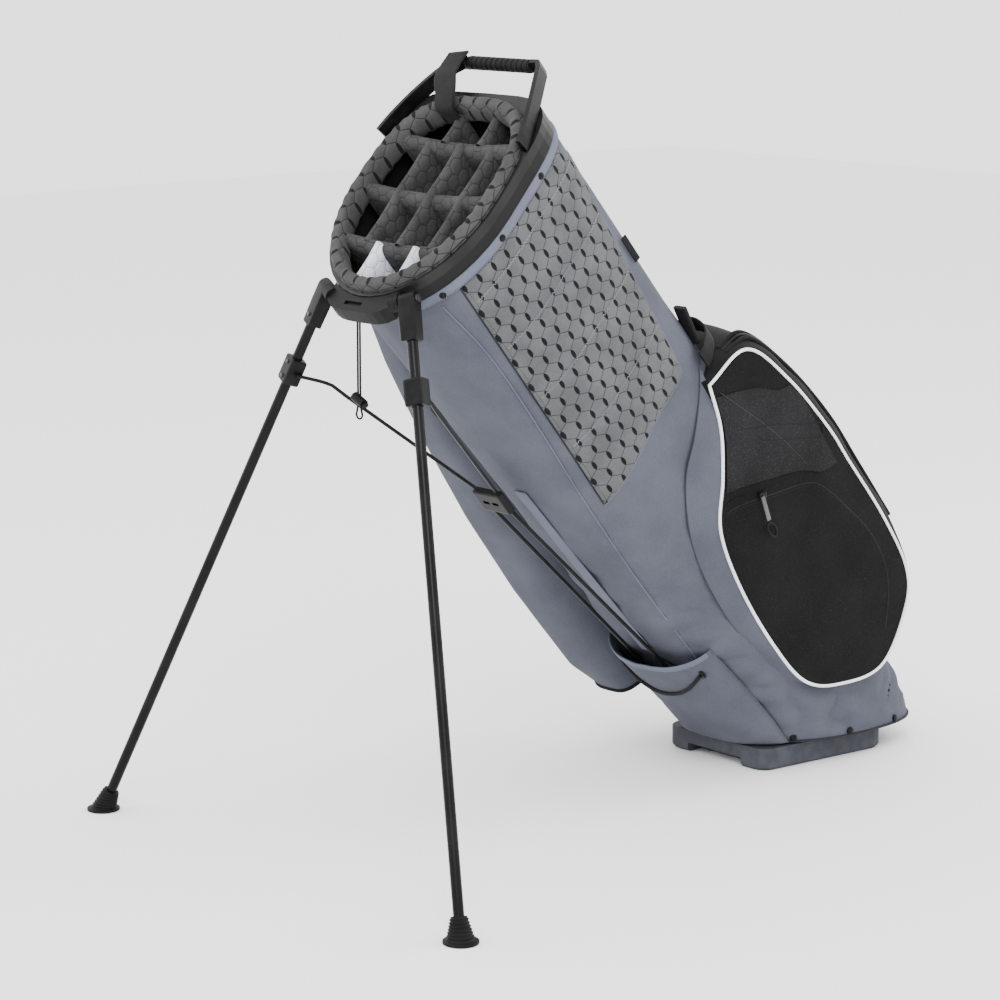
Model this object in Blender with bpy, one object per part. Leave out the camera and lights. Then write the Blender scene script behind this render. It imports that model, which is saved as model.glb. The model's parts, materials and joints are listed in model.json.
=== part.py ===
"""Golf stand bag: a soft 14-way bag leaning on two folding legs.

Bag frame: x across the bag, y from the leg side to the spine, z up the bag's long axis.
Its zero is the front edge of the base, and it leans LEAN towards the legs.
"""
import math

import bmesh
import bpy
from mathutils import Matrix, Vector

# ---------------------------------------------------------------- driving sizes, metres
GAP = 0.0003                      # between faces that touch
LEAN = math.radians(40)           # bag axis from the vertical, legs out

# collar and padded rim
COLLAR_HALF_WIDTH = 0.1285
COLLAR_FRONT = -0.0270
COLLAR_BACK = 0.2630
COLLAR_HEIGHT = 0.0260
COLLAR_WALL = 0.0045
COLLAR_TOP = 0.8760               # height of the top edge at the front
RAKE = math.radians(8.8)          # the collar rises towards the spine
FRONT_ROUND = 2.0                 # squareness of the outline, leg side
BACK_ROUND = 4.6                  # squareness of the outline, spine side
RIM_BACK_ROUND = 2.8              # the rim is rounder there than the collar
RIM_WIDTH = 0.0170
RIM_BACK_SET = 0.0055             # the rim stands further in at the spine
RIM_RISE = 0.0100
RIM_DROP = 0.0200

# dividers
BAR_PLACES = (0.0500, 0.1220, 0.1950)
BAR_THICK = 0.0130
BAR_DEPTH = 0.0600
BAR_DROP = 0.0040                 # top of a bar below the collar's top edge
SEPARATOR_THICK = 0.0080
SEPARATOR_DROP = 0.0080
SEPARATOR_PLACES = ((-0.033, 0.033), (-0.056, 0.0, 0.056), (-0.056, 0.0, 0.056), (-0.031, 0.031))

# fabric body: height on the bag, half width, front, back, front and back squareness
BODY_STATIONS = (
    (0.900, 0.1270, -0.0230, 0.2630, 2.10, 4.2),
    (0.800, 0.1260, -0.0160, 0.2650, 2.30, 4.0),
    (0.600, 0.1250, -0.0080, 0.2680, 2.40, 3.8),
    (0.400, 0.1230, 0.0020, 0.2800, 2.50, 3.6),
    (0.200, 0.1220, 0.0145, 0.2880, 2.50, 3.4),
    (0.100, 0.1210, 0.0280, 0.2860, 2.50, 3.2),
    (0.040, 0.1200, 0.0350, 0.2840, 2.60, 3.0),
    (-0.080, 0.1180, 0.0350, 0.2740, 2.60, 2.8),
    (-0.170, 0.1160, 0.0350, 0.2500, 2.60, 2.6),
    (-0.260, 0.1130, 0.0350, 0.2150, 2.60, 2.6),
)
BODY_WALL = 0.0030
BODY_COLUMNS = 44
BODY_ROWS = 13
HEM_HEIGHT = 0.0320               # bottom hem above the ground

# base, hinged inside the bag's lower end
BASE_HEIGHT = 0.0290
BASE_LENGTH = 0.2150
BASE_FRONT_HALF = 0.0900
BASE_BACK_HALF = 0.1040
BASE_CORNER = 0.0220
BASE_CHAMFER = 0.0040
RECESS_HALF = 0.0480
RECESS_DEPTH = 0.0260
RECESS_HEIGHT = 0.0120
BASE_HINGE_BACK = 0.0850
BASE_HINGE_UP = 0.0600
HINGE_PIN_RADIUS = 0.0040
HINGE_LUG_PLACE = 0.0550
HINGE_LUG_WIDTH = 0.0100
HINGE_LUG_LENGTH = 0.0240
ROD_LUG_HALF = 0.0300
ROD_LUG_HEIGHT = 0.0090

# legs
PIVOT_HALF = 0.0735
PIVOT_FRONT = -0.0180
PIVOT_UP = COLLAR_TOP - 0.0065    # just under the collar's top edge
LEG_LENGTH = 0.7200
FOOT_SPREAD = 0.3350
LEG_RADIUS = 0.0062
HOUSING_WIDTH = 0.0220
HOUSING_THICK = 0.0180
HOUSING_LENGTH = 0.0480
PIN_RADIUS = 0.0030
PIN_HEAD_RADIUS = 0.0050
PIN_HEAD_THICK = 0.0020
BORE_PLAY = 0.0003
CLAMP_PLACE = 0.1080
CLAMP_LENGTH = 0.0320
CLAMP_WIDTH = 0.0240
CLAMP_THICK = 0.0200
BOOT_RADIUS = 0.0200
BOOT_NECK = 0.0095
BOOT_HEIGHT = 0.0270
BOOT_FLANGE = 0.0030

# moulded head that carries the two leg pivots
HEAD_HALF = 0.0560
HEAD_FRONT = -0.0470
HEAD_HEIGHT = 0.0190
HEAD_LUG_RADIUS = 0.0095
HEAD_LUG_LENGTH = 0.0120
HEAD_SLOT_LENGTH = 0.0300
HEAD_SLOT_WIDTH = 0.0050

# push linkage
YOKE_UP = COLLAR_TOP - 0.3320
YOKE_WIDTH = 0.0480
YOKE_HEIGHT = 0.0320
YOKE_THICK = 0.0100
YOKE_SLOT_LENGTH = 0.0110
YOKE_SLOT_WIDTH = 0.0050
YOKE_SLOT_PLACE = 0.0080
ROD_RADIUS = 0.0025
ROD_TOP_HALF = 0.0170
ROD_MOUTH_HALF = 0.0235
ROD_MOUTH_FRONT = 0.0070
ROD_MOUTH_UP = 0.1950
ROD_SLOPE = 0.0485 / 0.3490         # the rods lean in as they run down to the mouth
YOKE_FRONT = ROD_MOUTH_FRONT - ROD_SLOPE * (YOKE_UP - ROD_MOUTH_UP)
ROD_END_UP = 0.0500
LINK_RADIUS = 0.0022
LINK_FOOT_HALF = 0.0190
LINK_BEND = (-0.0080, 0.0240, -0.0380)
OPEN_PIVOT_CLEARANCE = 0.0015

# fabric sleeve over the rods
SLEEVE_TOP = 0.2000
SLEEVE_LEFT = -0.0865
SLEEVE_RIGHT = 0.0880
SLEEVE_DEPTH = 0.0180
SLEEVE_WALL = 0.0025
SLEEVE_AIR = 0.0016

# shock cord across the sleeve
SHOCK_RADIUS = 0.0025
SHOCK_HALF = 0.0730
SHOCK_UP = 0.1730
SHOCK_SAG = 0.0350

# retention cord with its lock
CORD_RADIUS = 0.00125
CORD_EXIT = (-0.0100, -0.0385)
CORD_HALF_SPACE = 0.0022
CORD_DROP = 0.0950                # from the head to the lock
LOOP_RADIUS = 0.0053
LOOP_DROP = 0.0165                # from the lock to the middle of the end loop
LOCK_RADIUS = 0.0055
LOCK_LENGTH = 0.0190
LOCK_BORE = 0.0040
LOCK_BORE_DEPTH = 0.0050
BUTTON_OUT = 0.0035
BUTTON_TRAVEL = 0.0020
LOCK_TILT = math.radians(24)

# handle
GRIP_HALF = 0.0560
GRIP_RADIUS = 0.0085
GRIP_BACK = 0.3000
GRIP_UP = COLLAR_TOP + 0.0560
ARM_HEIGHT = 0.0180
ARM_THICK = 0.0060
WEBBING_WIDTH = 0.0320
WEBBING_THICK = 0.0030

# ball pocket on the spine and right side: outline of its side panel, as (y, z)
POCKET_OUTLINE = (
    (0.246, 0.462), (0.170, 0.392), (0.135, 0.300), (0.116, 0.200), (0.114, 0.105),
    (0.134, 0.030), (0.172, -0.018), (0.250, -0.034), (0.306, -0.018), (0.330, 0.040),
    (0.342, 0.130), (0.349, 0.230), (0.348, 0.330), (0.332, 0.410), (0.296, 0.456),
)
POCKET_RIGHT = 0.1420
POCKET_LEFT = -0.0980
POCKET_BULGE = 0.0340

# garment pocket on the left side: height, centre x, centre y, half width, half depth
GARMENT_STATIONS = (
    (0.790, -0.1080, 0.1300, 0.0240, 0.1000),
    (0.700, -0.1180, 0.1240, 0.0340, 0.1080),
    (0.580, -0.1290, 0.1200, 0.0430, 0.1160),
    (0.440, -0.1370, 0.1160, 0.0500, 0.1220),
    (0.300, -0.1410, 0.1150, 0.0530, 0.1250),
    (0.150, -0.1410, 0.1170, 0.0520, 0.1240),
    (0.090, -0.1370, 0.1220, 0.0460, 0.1140),
)
GARMENT_ROUND = 3.6
GARMENT_TOP = COLLAR_TOP - 0.0860
POCKET_SKIN = 0.0010              # air between a pocket and the body

# small hardware
SLIDER_LENGTH = 0.0120
SLIDER_WIDTH = 0.0080
SLIDER_HEIGHT = 0.0040
FRONT_PULL_LENGTH = 0.0600
TOP_PULL_LENGTH = 0.0340
PULL_WIDTH = 0.0070
PULL_THICK = 0.0022
FRONT_ZIP = (0.1900, 0.3330)      # slider place on the side panel, as (y, z)
FRONT_ZIP_WAY = (0.815, -0.580)   # zip direction on the side panel, as (y, z)
FRONT_PULL_WAY = (-0.410, -0.912)
TOP_ZIP = (0.0560, 0.2860)        # slider place over the pocket top, as (x, y)
TOP_PULL_WAY = (0.960, 0.280)     # as (x, y)
LIFT_UP = 0.520
LIFT_WIDTH = 0.0240
LIFT_THICK = 0.0040
LIFT_STAND = 0.0200               # height of the loop over the spine
LIFT_REACH = (0.0500, 0.1180)     # from x to x across the spine

# ---------------------------------------------------------------- frames
BAG = Matrix.Rotation(LEAN, 4, "X")


def collar_top(y):
    """Height of the collar's top edge at depth y."""
    return COLLAR_TOP + math.tan(RAKE) * (y - COLLAR_FRONT)


def leg_geometry(side):
    """Pivot, foot and the two leg directions, all in the bag frame."""
    pivot = Vector((side * PIVOT_HALF, PIVOT_FRONT, PIVOT_UP))
    start = BAG @ pivot
    reach = side * FOOT_SPREAD - start.x
    forward = math.sqrt(LEG_LENGTH ** 2 - reach ** 2 - start.z ** 2)
    foot = Vector((side * FOOT_SPREAD, start.y - forward, 0.0))
    open_way = (BAG.inverted() @ foot - pivot).normalized()
    folded_way = Vector((0.0, 0.0, -1.0))
    return pivot, foot, open_way, folded_way


def leg_matrix(side):
    """Leg frame in the bag frame: x on the hinge, z up the leg, zero on the pivot."""
    pivot, foot, open_way, folded_way = leg_geometry(side)
    hinge = open_way.cross(folded_way).normalized()
    if hinge.x * side < 0:
        hinge.negate()
    up = -open_way
    turn = Matrix((hinge, up.cross(hinge), up)).transposed()
    return Matrix.Translation(pivot) @ turn.to_4x4()


# ---------------------------------------------------------------- scene helpers
def clear_scene():
    for item in list(bpy.data.objects):
        bpy.data.objects.remove(item, do_unlink=True)


def finish(name, colour, roughness, metallic=0.0):
    material = bpy.data.materials.new(name)
    material.use_nodes = True
    shader = material.node_tree.nodes["Principled BSDF"]
    shader.inputs["Base Color"].default_value = (*colour, 1.0)
    shader.inputs["Roughness"].default_value = roughness
    shader.inputs["Metallic"].default_value = metallic
    material.diffuse_color = (*colour, 1.0)
    return material


def frame_empty(name, matrix, parent=None):
    empty = bpy.data.objects.new(name, None)
    empty.empty_display_size = 0.05
    bpy.context.scene.collection.objects.link(empty)
    empty.parent = parent
    empty.matrix_local = matrix
    return empty


def piece(name, shape, material, parent, place=(0, 0, 0), smooth=35):
    """A named object from a bmesh, whose points are given relative to place."""
    bmesh.ops.recalc_face_normals(shape, faces=shape.faces)
    mesh = bpy.data.meshes.new(name)
    shape.to_mesh(mesh)
    shape.free()
    mesh.materials.append(material)
    mesh.shade_smooth()
    mesh.set_sharp_from_angle(angle=math.radians(smooth))
    item = bpy.data.objects.new(name, mesh)
    bpy.context.scene.collection.objects.link(item)
    item.parent = parent
    item.location = place
    return item


def cutter(name, shape, parent, place=(0, 0, 0)):
    """A hidden solid for a Boolean."""
    item = piece(name, shape, finish(name, (0.5, 0.1, 0.1), 0.5), parent, place)
    item.hide_render = True
    item.display_type = "WIRE"
    return item


def boolean(item, other, operation="DIFFERENCE"):
    modifier = item.modifiers.new(other.name, "BOOLEAN")
    modifier.operation = operation
    modifier.object = other
    modifier.solver = "EXACT"


# ---------------------------------------------------------------- shape helpers
def loft(rings, closed=False):
    """Skin a row of closed rings; closed joins the last ring to the first, else both are capped."""
    shape = bmesh.new()
    rows = [[shape.verts.new(point) for point in ring] for ring in rings]
    pairs = list(zip(rows, rows[1:]))
    if closed:
        pairs.append((rows[-1], rows[0]))
    for low, high in pairs:
        for i in range(len(low)):
            j = (i + 1) % len(low)
            shape.faces.new((low[i], low[j], high[j], high[i]))
    if not closed:
        shape.faces.new(list(reversed(rows[0])))
        shape.faces.new(rows[-1])
    return shape


def block(size, centre=(0, 0, 0), turn=None, bevel=0.0):
    shape = bmesh.new()
    matrix = Matrix.Translation(centre) @ (turn.to_4x4() if turn else Matrix())
    matrix = matrix @ Matrix.Diagonal((*size, 1.0))
    bmesh.ops.create_cube(shape, size=1.0, matrix=matrix)
    if bevel:
        bmesh.ops.bevel(shape, geom=shape.edges[:], offset=bevel, segments=2, profile=0.6,
                        affect="EDGES", clamp_overlap=True)
    return shape


def round_bar(start, end, radius, sides=12, end_radius=None):
    """A straight round bar between two points."""
    start, end = Vector(start), Vector(end)
    way = (end - start).normalized()
    across = way.orthogonal().normalized()
    other = way.cross(across)
    rings = []
    for centre, size in ((start, radius), (end, end_radius or radius)):
        rings.append([centre + size * (math.cos(t) * across + math.sin(t) * other)
                      for t in (math.tau * k / sides for k in range(sides))])
    return loft(rings)


def outline_point(half, front, back, front_round, back_round, turn):
    """A point of the bag's rounded outline, at a turn counted from +x towards the spine."""
    c, s = math.cos(turn), math.sin(turn)
    power = 2.0 / (back_round if s >= 0 else front_round)
    x = half * math.copysign(abs(c) ** power, c)
    y = (front + back) / 2 + (back - front) / 2 * math.copysign(abs(s) ** power, s)
    return x, y


def outline_half(half, front, back, front_round, back_round, y):
    """Half width of the outline at depth y."""
    middle = (front + back) / 2
    power = back_round if y >= middle else front_round
    share = min(abs(y - middle) / ((back - front) / 2), 1.0)
    return half * (1.0 - share ** power) ** (1.0 / power)


def outline_front(half, front, back, front_round, x):
    """Depth of the outline's leg side at x."""
    deep = (back - front) / 2
    share = min(abs(x) / half, 1.0)
    return front + deep - deep * (1.0 - share ** front_round) ** (1.0 / front_round)


def station(z):
    """Body outline values at height z, eased between the stations."""
    rows = sorted(BODY_STATIONS)
    if z <= rows[0][0]:
        return rows[0][1:]
    for low, high in zip(rows, rows[1:]):
        if z <= high[0]:
            share = (z - low[0]) / (high[0] - low[0])
            return tuple(a + (b - a) * share for a, b in zip(low[1:], high[1:]))
    return rows[-1][1:]


def hem_up(y):
    """Height on the bag where depth y meets the bottom hem."""
    return (HEM_HEIGHT - y * math.sin(LEAN)) / math.cos(LEAN)


def body_outline(turn, z, inset):
    """A point of the body's outline at height z, moved in by inset."""
    half, front, back, front_round, back_round = station(z)
    return outline_point(half - inset, front + inset, back - inset, front_round, back_round, turn)


def body_point(turn, share, inset=0.0):
    """A point of the body's skin: share runs from the collar, 0, to the hem, 1."""
    top = collar_top(COLLAR_BACK) - COLLAR_HEIGHT
    low = 0.0
    for _ in range(24):
        top = 0.5 * (top + collar_top(body_outline(turn, top, inset)[1]) - COLLAR_HEIGHT - GAP)
        low = 0.5 * (low + hem_up(body_outline(turn, low, inset)[1]))
    z = top + (low - top) * share
    x, y = body_outline(turn, z, inset)
    return Vector((x, y, z))


def smooth_path(points, count):
    """Points along a Catmull-Rom curve through the given points, evenly spread in number."""
    points = [Vector(p) for p in points]
    points = [2 * points[0] - points[1]] + points + [2 * points[-1] - points[-2]]
    spans = len(points) - 3
    route = []
    for k in range(count):
        place = spans * k / (count - 1)
        i = min(int(place), spans - 1)
        t = place - i
        a, b, c, d = points[i:i + 4]
        route.append(0.5 * (2 * b + (c - a) * t + (2 * a - 5 * b + 4 * c - d) * t * t
                            + (3 * b - a - 3 * c + d) * t * t * t))
    return route


def even_path(points, step):
    """The smooth curve through the points, cut into equal steps of about the given length."""
    fine = smooth_path(points, 60 * len(points))
    runs = [0.0]
    for low, high in zip(fine, fine[1:]):
        runs.append(runs[-1] + (high - low).length)
    count = max(int(round(runs[-1] / step)), 4)
    route = []
    i = 0
    for k in range(count + 1):
        target = runs[-1] * k / count
        while i < len(runs) - 2 and runs[i + 1] < target:
            i += 1
        share = (target - runs[i]) / max(runs[i + 1] - runs[i], 1e-9)
        route.append(fine[i].lerp(fine[i + 1], share))
    return route


def cord(name, route, radius, material, parent, place=(0, 0, 0)):
    """A round cord along a route, as a bevelled poly curve."""
    curve = bpy.data.curves.new(name, "CURVE")
    curve.dimensions = "3D"
    curve.bevel_depth = radius
    curve.bevel_resolution = 2
    curve.use_fill_caps = True
    curve.render_resolution_u = 0
    curve.materials.append(material)
    spline = curve.splines.new("POLY")
    spline.points.add(len(route) - 1)
    for knot, point in zip(spline.points, route):
        knot.co = (*(Vector(point) - Vector(place)), 1.0)
    item = bpy.data.objects.new(name, curve)
    bpy.context.scene.collection.objects.link(item)
    item.parent = parent
    item.location = place
    return item


def ribbon(route, width_ways, width, thick):
    """A flat strap along a route; width_ways gives its width direction at each point."""
    rings = []
    for k, point in enumerate(route):
        ahead = route[min(k + 1, len(route) - 1)] - route[max(k - 1, 0)]
        wide = Vector(width_ways[k])
        wide = (wide - wide.project(ahead)).normalized() * width / 2
        deep = ahead.normalized().cross(wide.normalized()) * thick / 2
        rings.append([point - wide - deep, point + wide - deep, point + wide + deep,
                      point - wide + deep])
    return loft(rings)


# ---------------------------------------------------------------- collar, rim and dividers
def ring_points(half, front, back, back_round, height, count=44):
    """The collar's outline at a height above its raked top plane."""
    points = []
    for k in range(count):
        x, y = outline_point(half, front, back, FRONT_ROUND, back_round, math.tau * k / count)
        points.append((x, y, collar_top(y) + height))
    return points


def rim_outline(inset):
    """Half width, front and back of the rim's outline, moved in by inset."""
    step = COLLAR_WALL + GAP + inset
    return (COLLAR_HALF_WIDTH - step, COLLAR_FRONT + step, COLLAR_BACK - step - RIM_BACK_SET)


def make_collar(bag, plastic):
    inner_half, inner_front, inner_back = rim_outline(-GAP)
    outer = (COLLAR_HALF_WIDTH, COLLAR_FRONT, COLLAR_BACK, BACK_ROUND)
    inner = (inner_half, inner_front, inner_back, RIM_BACK_ROUND)
    rings = [ring_points(*outer, -COLLAR_HEIGHT), ring_points(*outer, 0.0),
             ring_points(*inner, 0.0), ring_points(*inner, -COLLAR_HEIGHT)]
    piece("collar", loft(rings, closed=True), plastic, bag)


def make_rim(bag, lining):
    section = []
    for k in range(10):
        t = math.tau * k / 10
        across = math.copysign(abs(math.cos(t)) ** 0.7, math.cos(t))
        up = math.copysign(abs(math.sin(t)) ** 0.7, math.sin(t))
        section.append((RIM_WIDTH / 2 - across * RIM_WIDTH / 2,
                        (RIM_RISE - RIM_DROP) / 2 + up * (RIM_RISE + RIM_DROP) / 2))
    rings = [ring_points(*rim_outline(inset), RIM_BACK_ROUND, height) for inset, height in section]
    piece("rim_pad", loft(rings, closed=True), lining, bag, smooth=60)


def rim_inside(y):
    """Half width of the opening inside the padded rim at depth y."""
    return outline_half(*rim_outline(RIM_WIDTH), FRONT_ROUND, RIM_BACK_ROUND, y)


def rounded_slab(x_low, x_high, y_low, y_high, top, depth):
    """A divider board with a rounded top edge; top is a function of the depth y."""
    middle = (y_low + y_high) / 2
    wide = (x_high - x_low) > (y_high - y_low)
    thin = (y_high - y_low) if wide else (x_high - x_low)
    rings = []
    for drop, pull in ((depth, 0.0), (thin * 0.5, 0.0), (thin * 0.15, 0.13), (0.0, 0.30)):
        ring = []
        for sx, sy in ((0, 0), (1, 0), (1, 1), (0, 1)):
            x = (x_low, x_high)[sx]
            y = (y_low, y_high)[sy]
            if wide:
                y += (middle - y) * 2 * pull
            else:
                x += ((x_low + x_high) / 2 - x) * 2 * pull
            ring.append((x, y, top(y) - drop))
        rings.append(ring)
    return loft(rings)


def make_dividers(bag, lining, white_lining):
    names = ("front", "middle", "rear")
    for name, y in zip(names, BAR_PLACES):
        reach = min(rim_inside(y - BAR_THICK / 2), rim_inside(y + BAR_THICK / 2)) - GAP

        def bar_top(_, level=collar_top(y) - BAR_DROP):
            return level
        shape = rounded_slab(-reach, reach, y - BAR_THICK / 2, y + BAR_THICK / 2, bar_top, BAR_DEPTH)
        piece("divider_bar_" + name, shape, lining, bag, smooth=60)

    _, rim_front, rim_back = rim_outline(RIM_WIDTH)
    edges = [rim_front]
    for y in BAR_PLACES:
        edges += [y - BAR_THICK / 2, y + BAR_THICK / 2]
    edges.append(rim_back)

    def separator_top(y):
        return collar_top(y) - SEPARATOR_DROP
    for row, places in enumerate(SEPARATOR_PLACES):
        for number, x in enumerate(places, 1):
            low, high = edges[2 * row], edges[2 * row + 1]
            side = abs(x) + SEPARATOR_THICK / 2
            if row == 0:
                low = outline_front(*rim_outline(RIM_WIDTH), FRONT_ROUND, side)
            if row == len(SEPARATOR_PLACES) - 1:
                while rim_inside(high) < side:
                    high -= GAP
            shape = rounded_slab(x - SEPARATOR_THICK / 2, x + SEPARATOR_THICK / 2,
                                 low + GAP, high - GAP, separator_top,
                                 BAR_DEPTH - SEPARATOR_DROP)
            cloth = white_lining if row == 0 else lining
            piece("separator_%d_%d" % (row + 1, number), shape, cloth, bag, smooth=60)


# ---------------------------------------------------------------- fabric body and pockets
def body_rings(inset, rows, start=0.0, stop=1.0):
    turns = [math.tau * k / BODY_COLUMNS for k in range(BODY_COLUMNS)]
    rings = []
    for row in range(rows):
        share = start + (stop - start) * row / (rows - 1)
        rings.append([body_point(turn, share, inset) for turn in turns])
    return rings


def make_body(bag, cloth):
    outer = body_rings(0.0, BODY_ROWS)
    inner = body_rings(BODY_WALL, BODY_ROWS)
    piece("body_shell", loft(outer + inner[::-1], closed=True), cloth, bag, smooth=60)


def make_pocket(bag, cloth, body_core):
    """Ball pocket: side panels joined round the spine, crowned between its edges."""
    outline = smooth_path(POCKET_OUTLINE + POCKET_OUTLINE[:1], 41)[:-1]
    middle = Vector((0.0, 0.235, 0.21))
    width = POCKET_RIGHT - POCKET_LEFT
    rings = []
    for share, shrink in ((0.0, 0.60), (0.012, 0.90), (0.05, 1.0), (0.25, 1.0), (0.5, 1.0),
                          (0.75, 1.0), (0.955, 1.0), (0.99, 0.93), (1.0, 0.62)):
        x = POCKET_LEFT + width * share
        bulge = POCKET_BULGE * (1.0 - (2 * share - 1) ** 2) ** 0.7
        ring = []
        for point in outline:
            y, z = point.x, point.y
            y = middle.y + (y - middle.y) * shrink
            z = middle.z + (z - middle.z) * shrink
            reach = max((y - 0.20) / 0.16, 0.0)
            ring.append((x, y + bulge * min(reach, 1.1), z))
        rings.append(ring)
    item = piece("ball_pocket", loft(rings), cloth, bag, smooth=50)
    boolean(item, body_core)


def make_garment_pocket(bag, cloth, body_core):
    count = 30
    rings = []
    stretch = GARMENT_TOP / GARMENT_STATIONS[0][0]
    for z, cx, cy, rx, ry in GARMENT_STATIONS:
        ring = []
        for k in range(count):
            t = math.tau * k / count
            c, s = math.cos(t), math.sin(t)
            power = 2.0 / GARMENT_ROUND
            ring.append((cx + rx * math.copysign(abs(c) ** power, c),
                         cy + ry * math.copysign(abs(s) ** power, s), z * stretch))
        rings.append(ring)
    item = piece("garment_pocket", loft(rings), cloth, bag, smooth=50)
    boolean(item, body_core)


def make_body_core(bag):
    """The body's volume with a little air round it, which the pockets are cut back to."""
    rings = body_rings(-POCKET_SKIN, BODY_ROWS)
    lift = Vector((0.0, 0.0, 0.05))
    rings = [[point + lift for point in rings[0]]] + rings + [[point - lift for point in rings[-1]]]
    return cutter("body_core_cutter", loft(rings), bag)


def sleeve_skin(x, z, lift):
    """A point of the sleeve's inner face, or of its outer face with the wall as lift."""
    half, front, back, front_round, _ = station(z)
    across = (2 * x - SLEEVE_LEFT - SLEEVE_RIGHT) / (SLEEVE_RIGHT - SLEEVE_LEFT)
    bow = SLEEVE_DEPTH * max(1.0 - abs(across) ** 3, 0.0) ** (1.0 / 3.0)
    return Vector((x, outline_front(half, front, back, front_round, x) - SLEEVE_AIR - bow - lift, z))


def make_sleeve(bag, cloth):
    """Fabric panel over the rods: bowed off the body's leg side, open above and below."""
    columns = 19
    rows = 5
    lines = []
    for lift, order in ((0.0, 1), (SLEEVE_WALL, -1)):
        for column in range(columns)[::order]:
            x = SLEEVE_LEFT + (SLEEVE_RIGHT - SLEEVE_LEFT) * column / (columns - 1)
            low = 0.04
            for _ in range(12):
                low = hem_up(sleeve_skin(x, low, lift).y)
            lines.append([sleeve_skin(x, low + (SLEEVE_TOP - low) * row / (rows - 1), lift)
                          for row in range(rows)])
    shape = bmesh.new()
    grid = [[shape.verts.new(point) for point in line] for line in lines]
    for line, following in zip(grid, grid[1:] + grid[:1]):
        for row in range(rows - 1):
            shape.faces.new((line[row], following[row], following[row + 1], line[row + 1]))
    for row in (0, rows - 1):
        for column in range(columns - 1):
            other = 2 * columns - 1 - column
            shape.faces.new((grid[column][row], grid[column + 1][row],
                             grid[other - 1][row], grid[other][row]))
    piece("rod_sleeve", shape, cloth, bag, smooth=60)


# ---------------------------------------------------------------- base
def rounded_plan(front_half, back_half, length, corner, inset, z):
    """A rounded plan outline on the ground, front edge on y = 0."""
    points = []
    corners = ((front_half, 0.0, -90), (back_half, length, 0), (-back_half, length, 90),
               (-front_half, 0.0, 180))
    for x, y, start in corners:
        cx = x - math.copysign(corner, x)
        cy = corner if y == 0.0 else length - corner
        for step in range(5):
            t = math.radians(start + 90 * step / 4)
            points.append((cx + (corner - inset) * math.cos(t), cy + (corner - inset) * math.sin(t), z))
    return points


def make_base(ground, plastic, steel):
    hinge = Vector((0.0, BASE_HINGE_BACK, BASE_HINGE_UP))
    plan = (BASE_FRONT_HALF, BASE_BACK_HALF, BASE_LENGTH, BASE_CORNER)
    rings = [rounded_plan(*plan, BASE_CHAMFER, 0.0), rounded_plan(*plan, 0.0, BASE_CHAMFER),
             rounded_plan(*plan, 0.0, BASE_HEIGHT)]
    rings = [[Vector(point) - hinge for point in ring] for ring in rings]
    base = piece("base_moulding", loft(rings), plastic, ground, hinge)
    recess = block((2 * RECESS_HALF, 2 * RECESS_DEPTH, 2 * RECESS_HEIGHT))
    boolean(base, cutter("recess_cutter", recess, ground))

    lug_top = BASE_HINGE_UP + HINGE_LUG_LENGTH / 2
    sunk = 0.004
    for side in (-1, 1):
        shape = block((HINGE_LUG_WIDTH, HINGE_LUG_LENGTH, lug_top - BASE_HEIGHT + sunk),
                      (side * HINGE_LUG_PLACE, BASE_HINGE_BACK, (lug_top + BASE_HEIGHT - sunk) / 2))
        boolean(base, cutter("hinge_lug_%d" % side, shape, ground), "UNION")
    low = BASE_HEIGHT - sunk
    rod_lug = block((2 * ROD_LUG_HALF, 0.010, ROD_LUG_HEIGHT + sunk),
                    (0.0, 0.006, low + (ROD_LUG_HEIGHT + sunk) / 2))
    boolean(base, cutter("rod_lug", rod_lug, ground), "UNION")
    bore = round_bar((-BASE_BACK_HALF, hinge.y, hinge.z), (BASE_BACK_HALF, hinge.y, hinge.z),
                     HINGE_PIN_RADIUS + BORE_PLAY, 16)
    boolean(base, cutter("hinge_bore", bore, ground))

    place = BAG.inverted() @ hinge
    half, front, back, front_round, back_round = station(place.z)
    reach = outline_half(half - BODY_WALL, front + BODY_WALL, back - BODY_WALL, front_round,
                         back_round, place.y - HINGE_PIN_RADIUS) - 2 * GAP
    pin = round_bar((-reach, hinge.y, hinge.z), (reach, hinge.y, hinge.z), HINGE_PIN_RADIUS, 16)
    piece("base_hinge_pin", pin, steel, ground)


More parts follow.
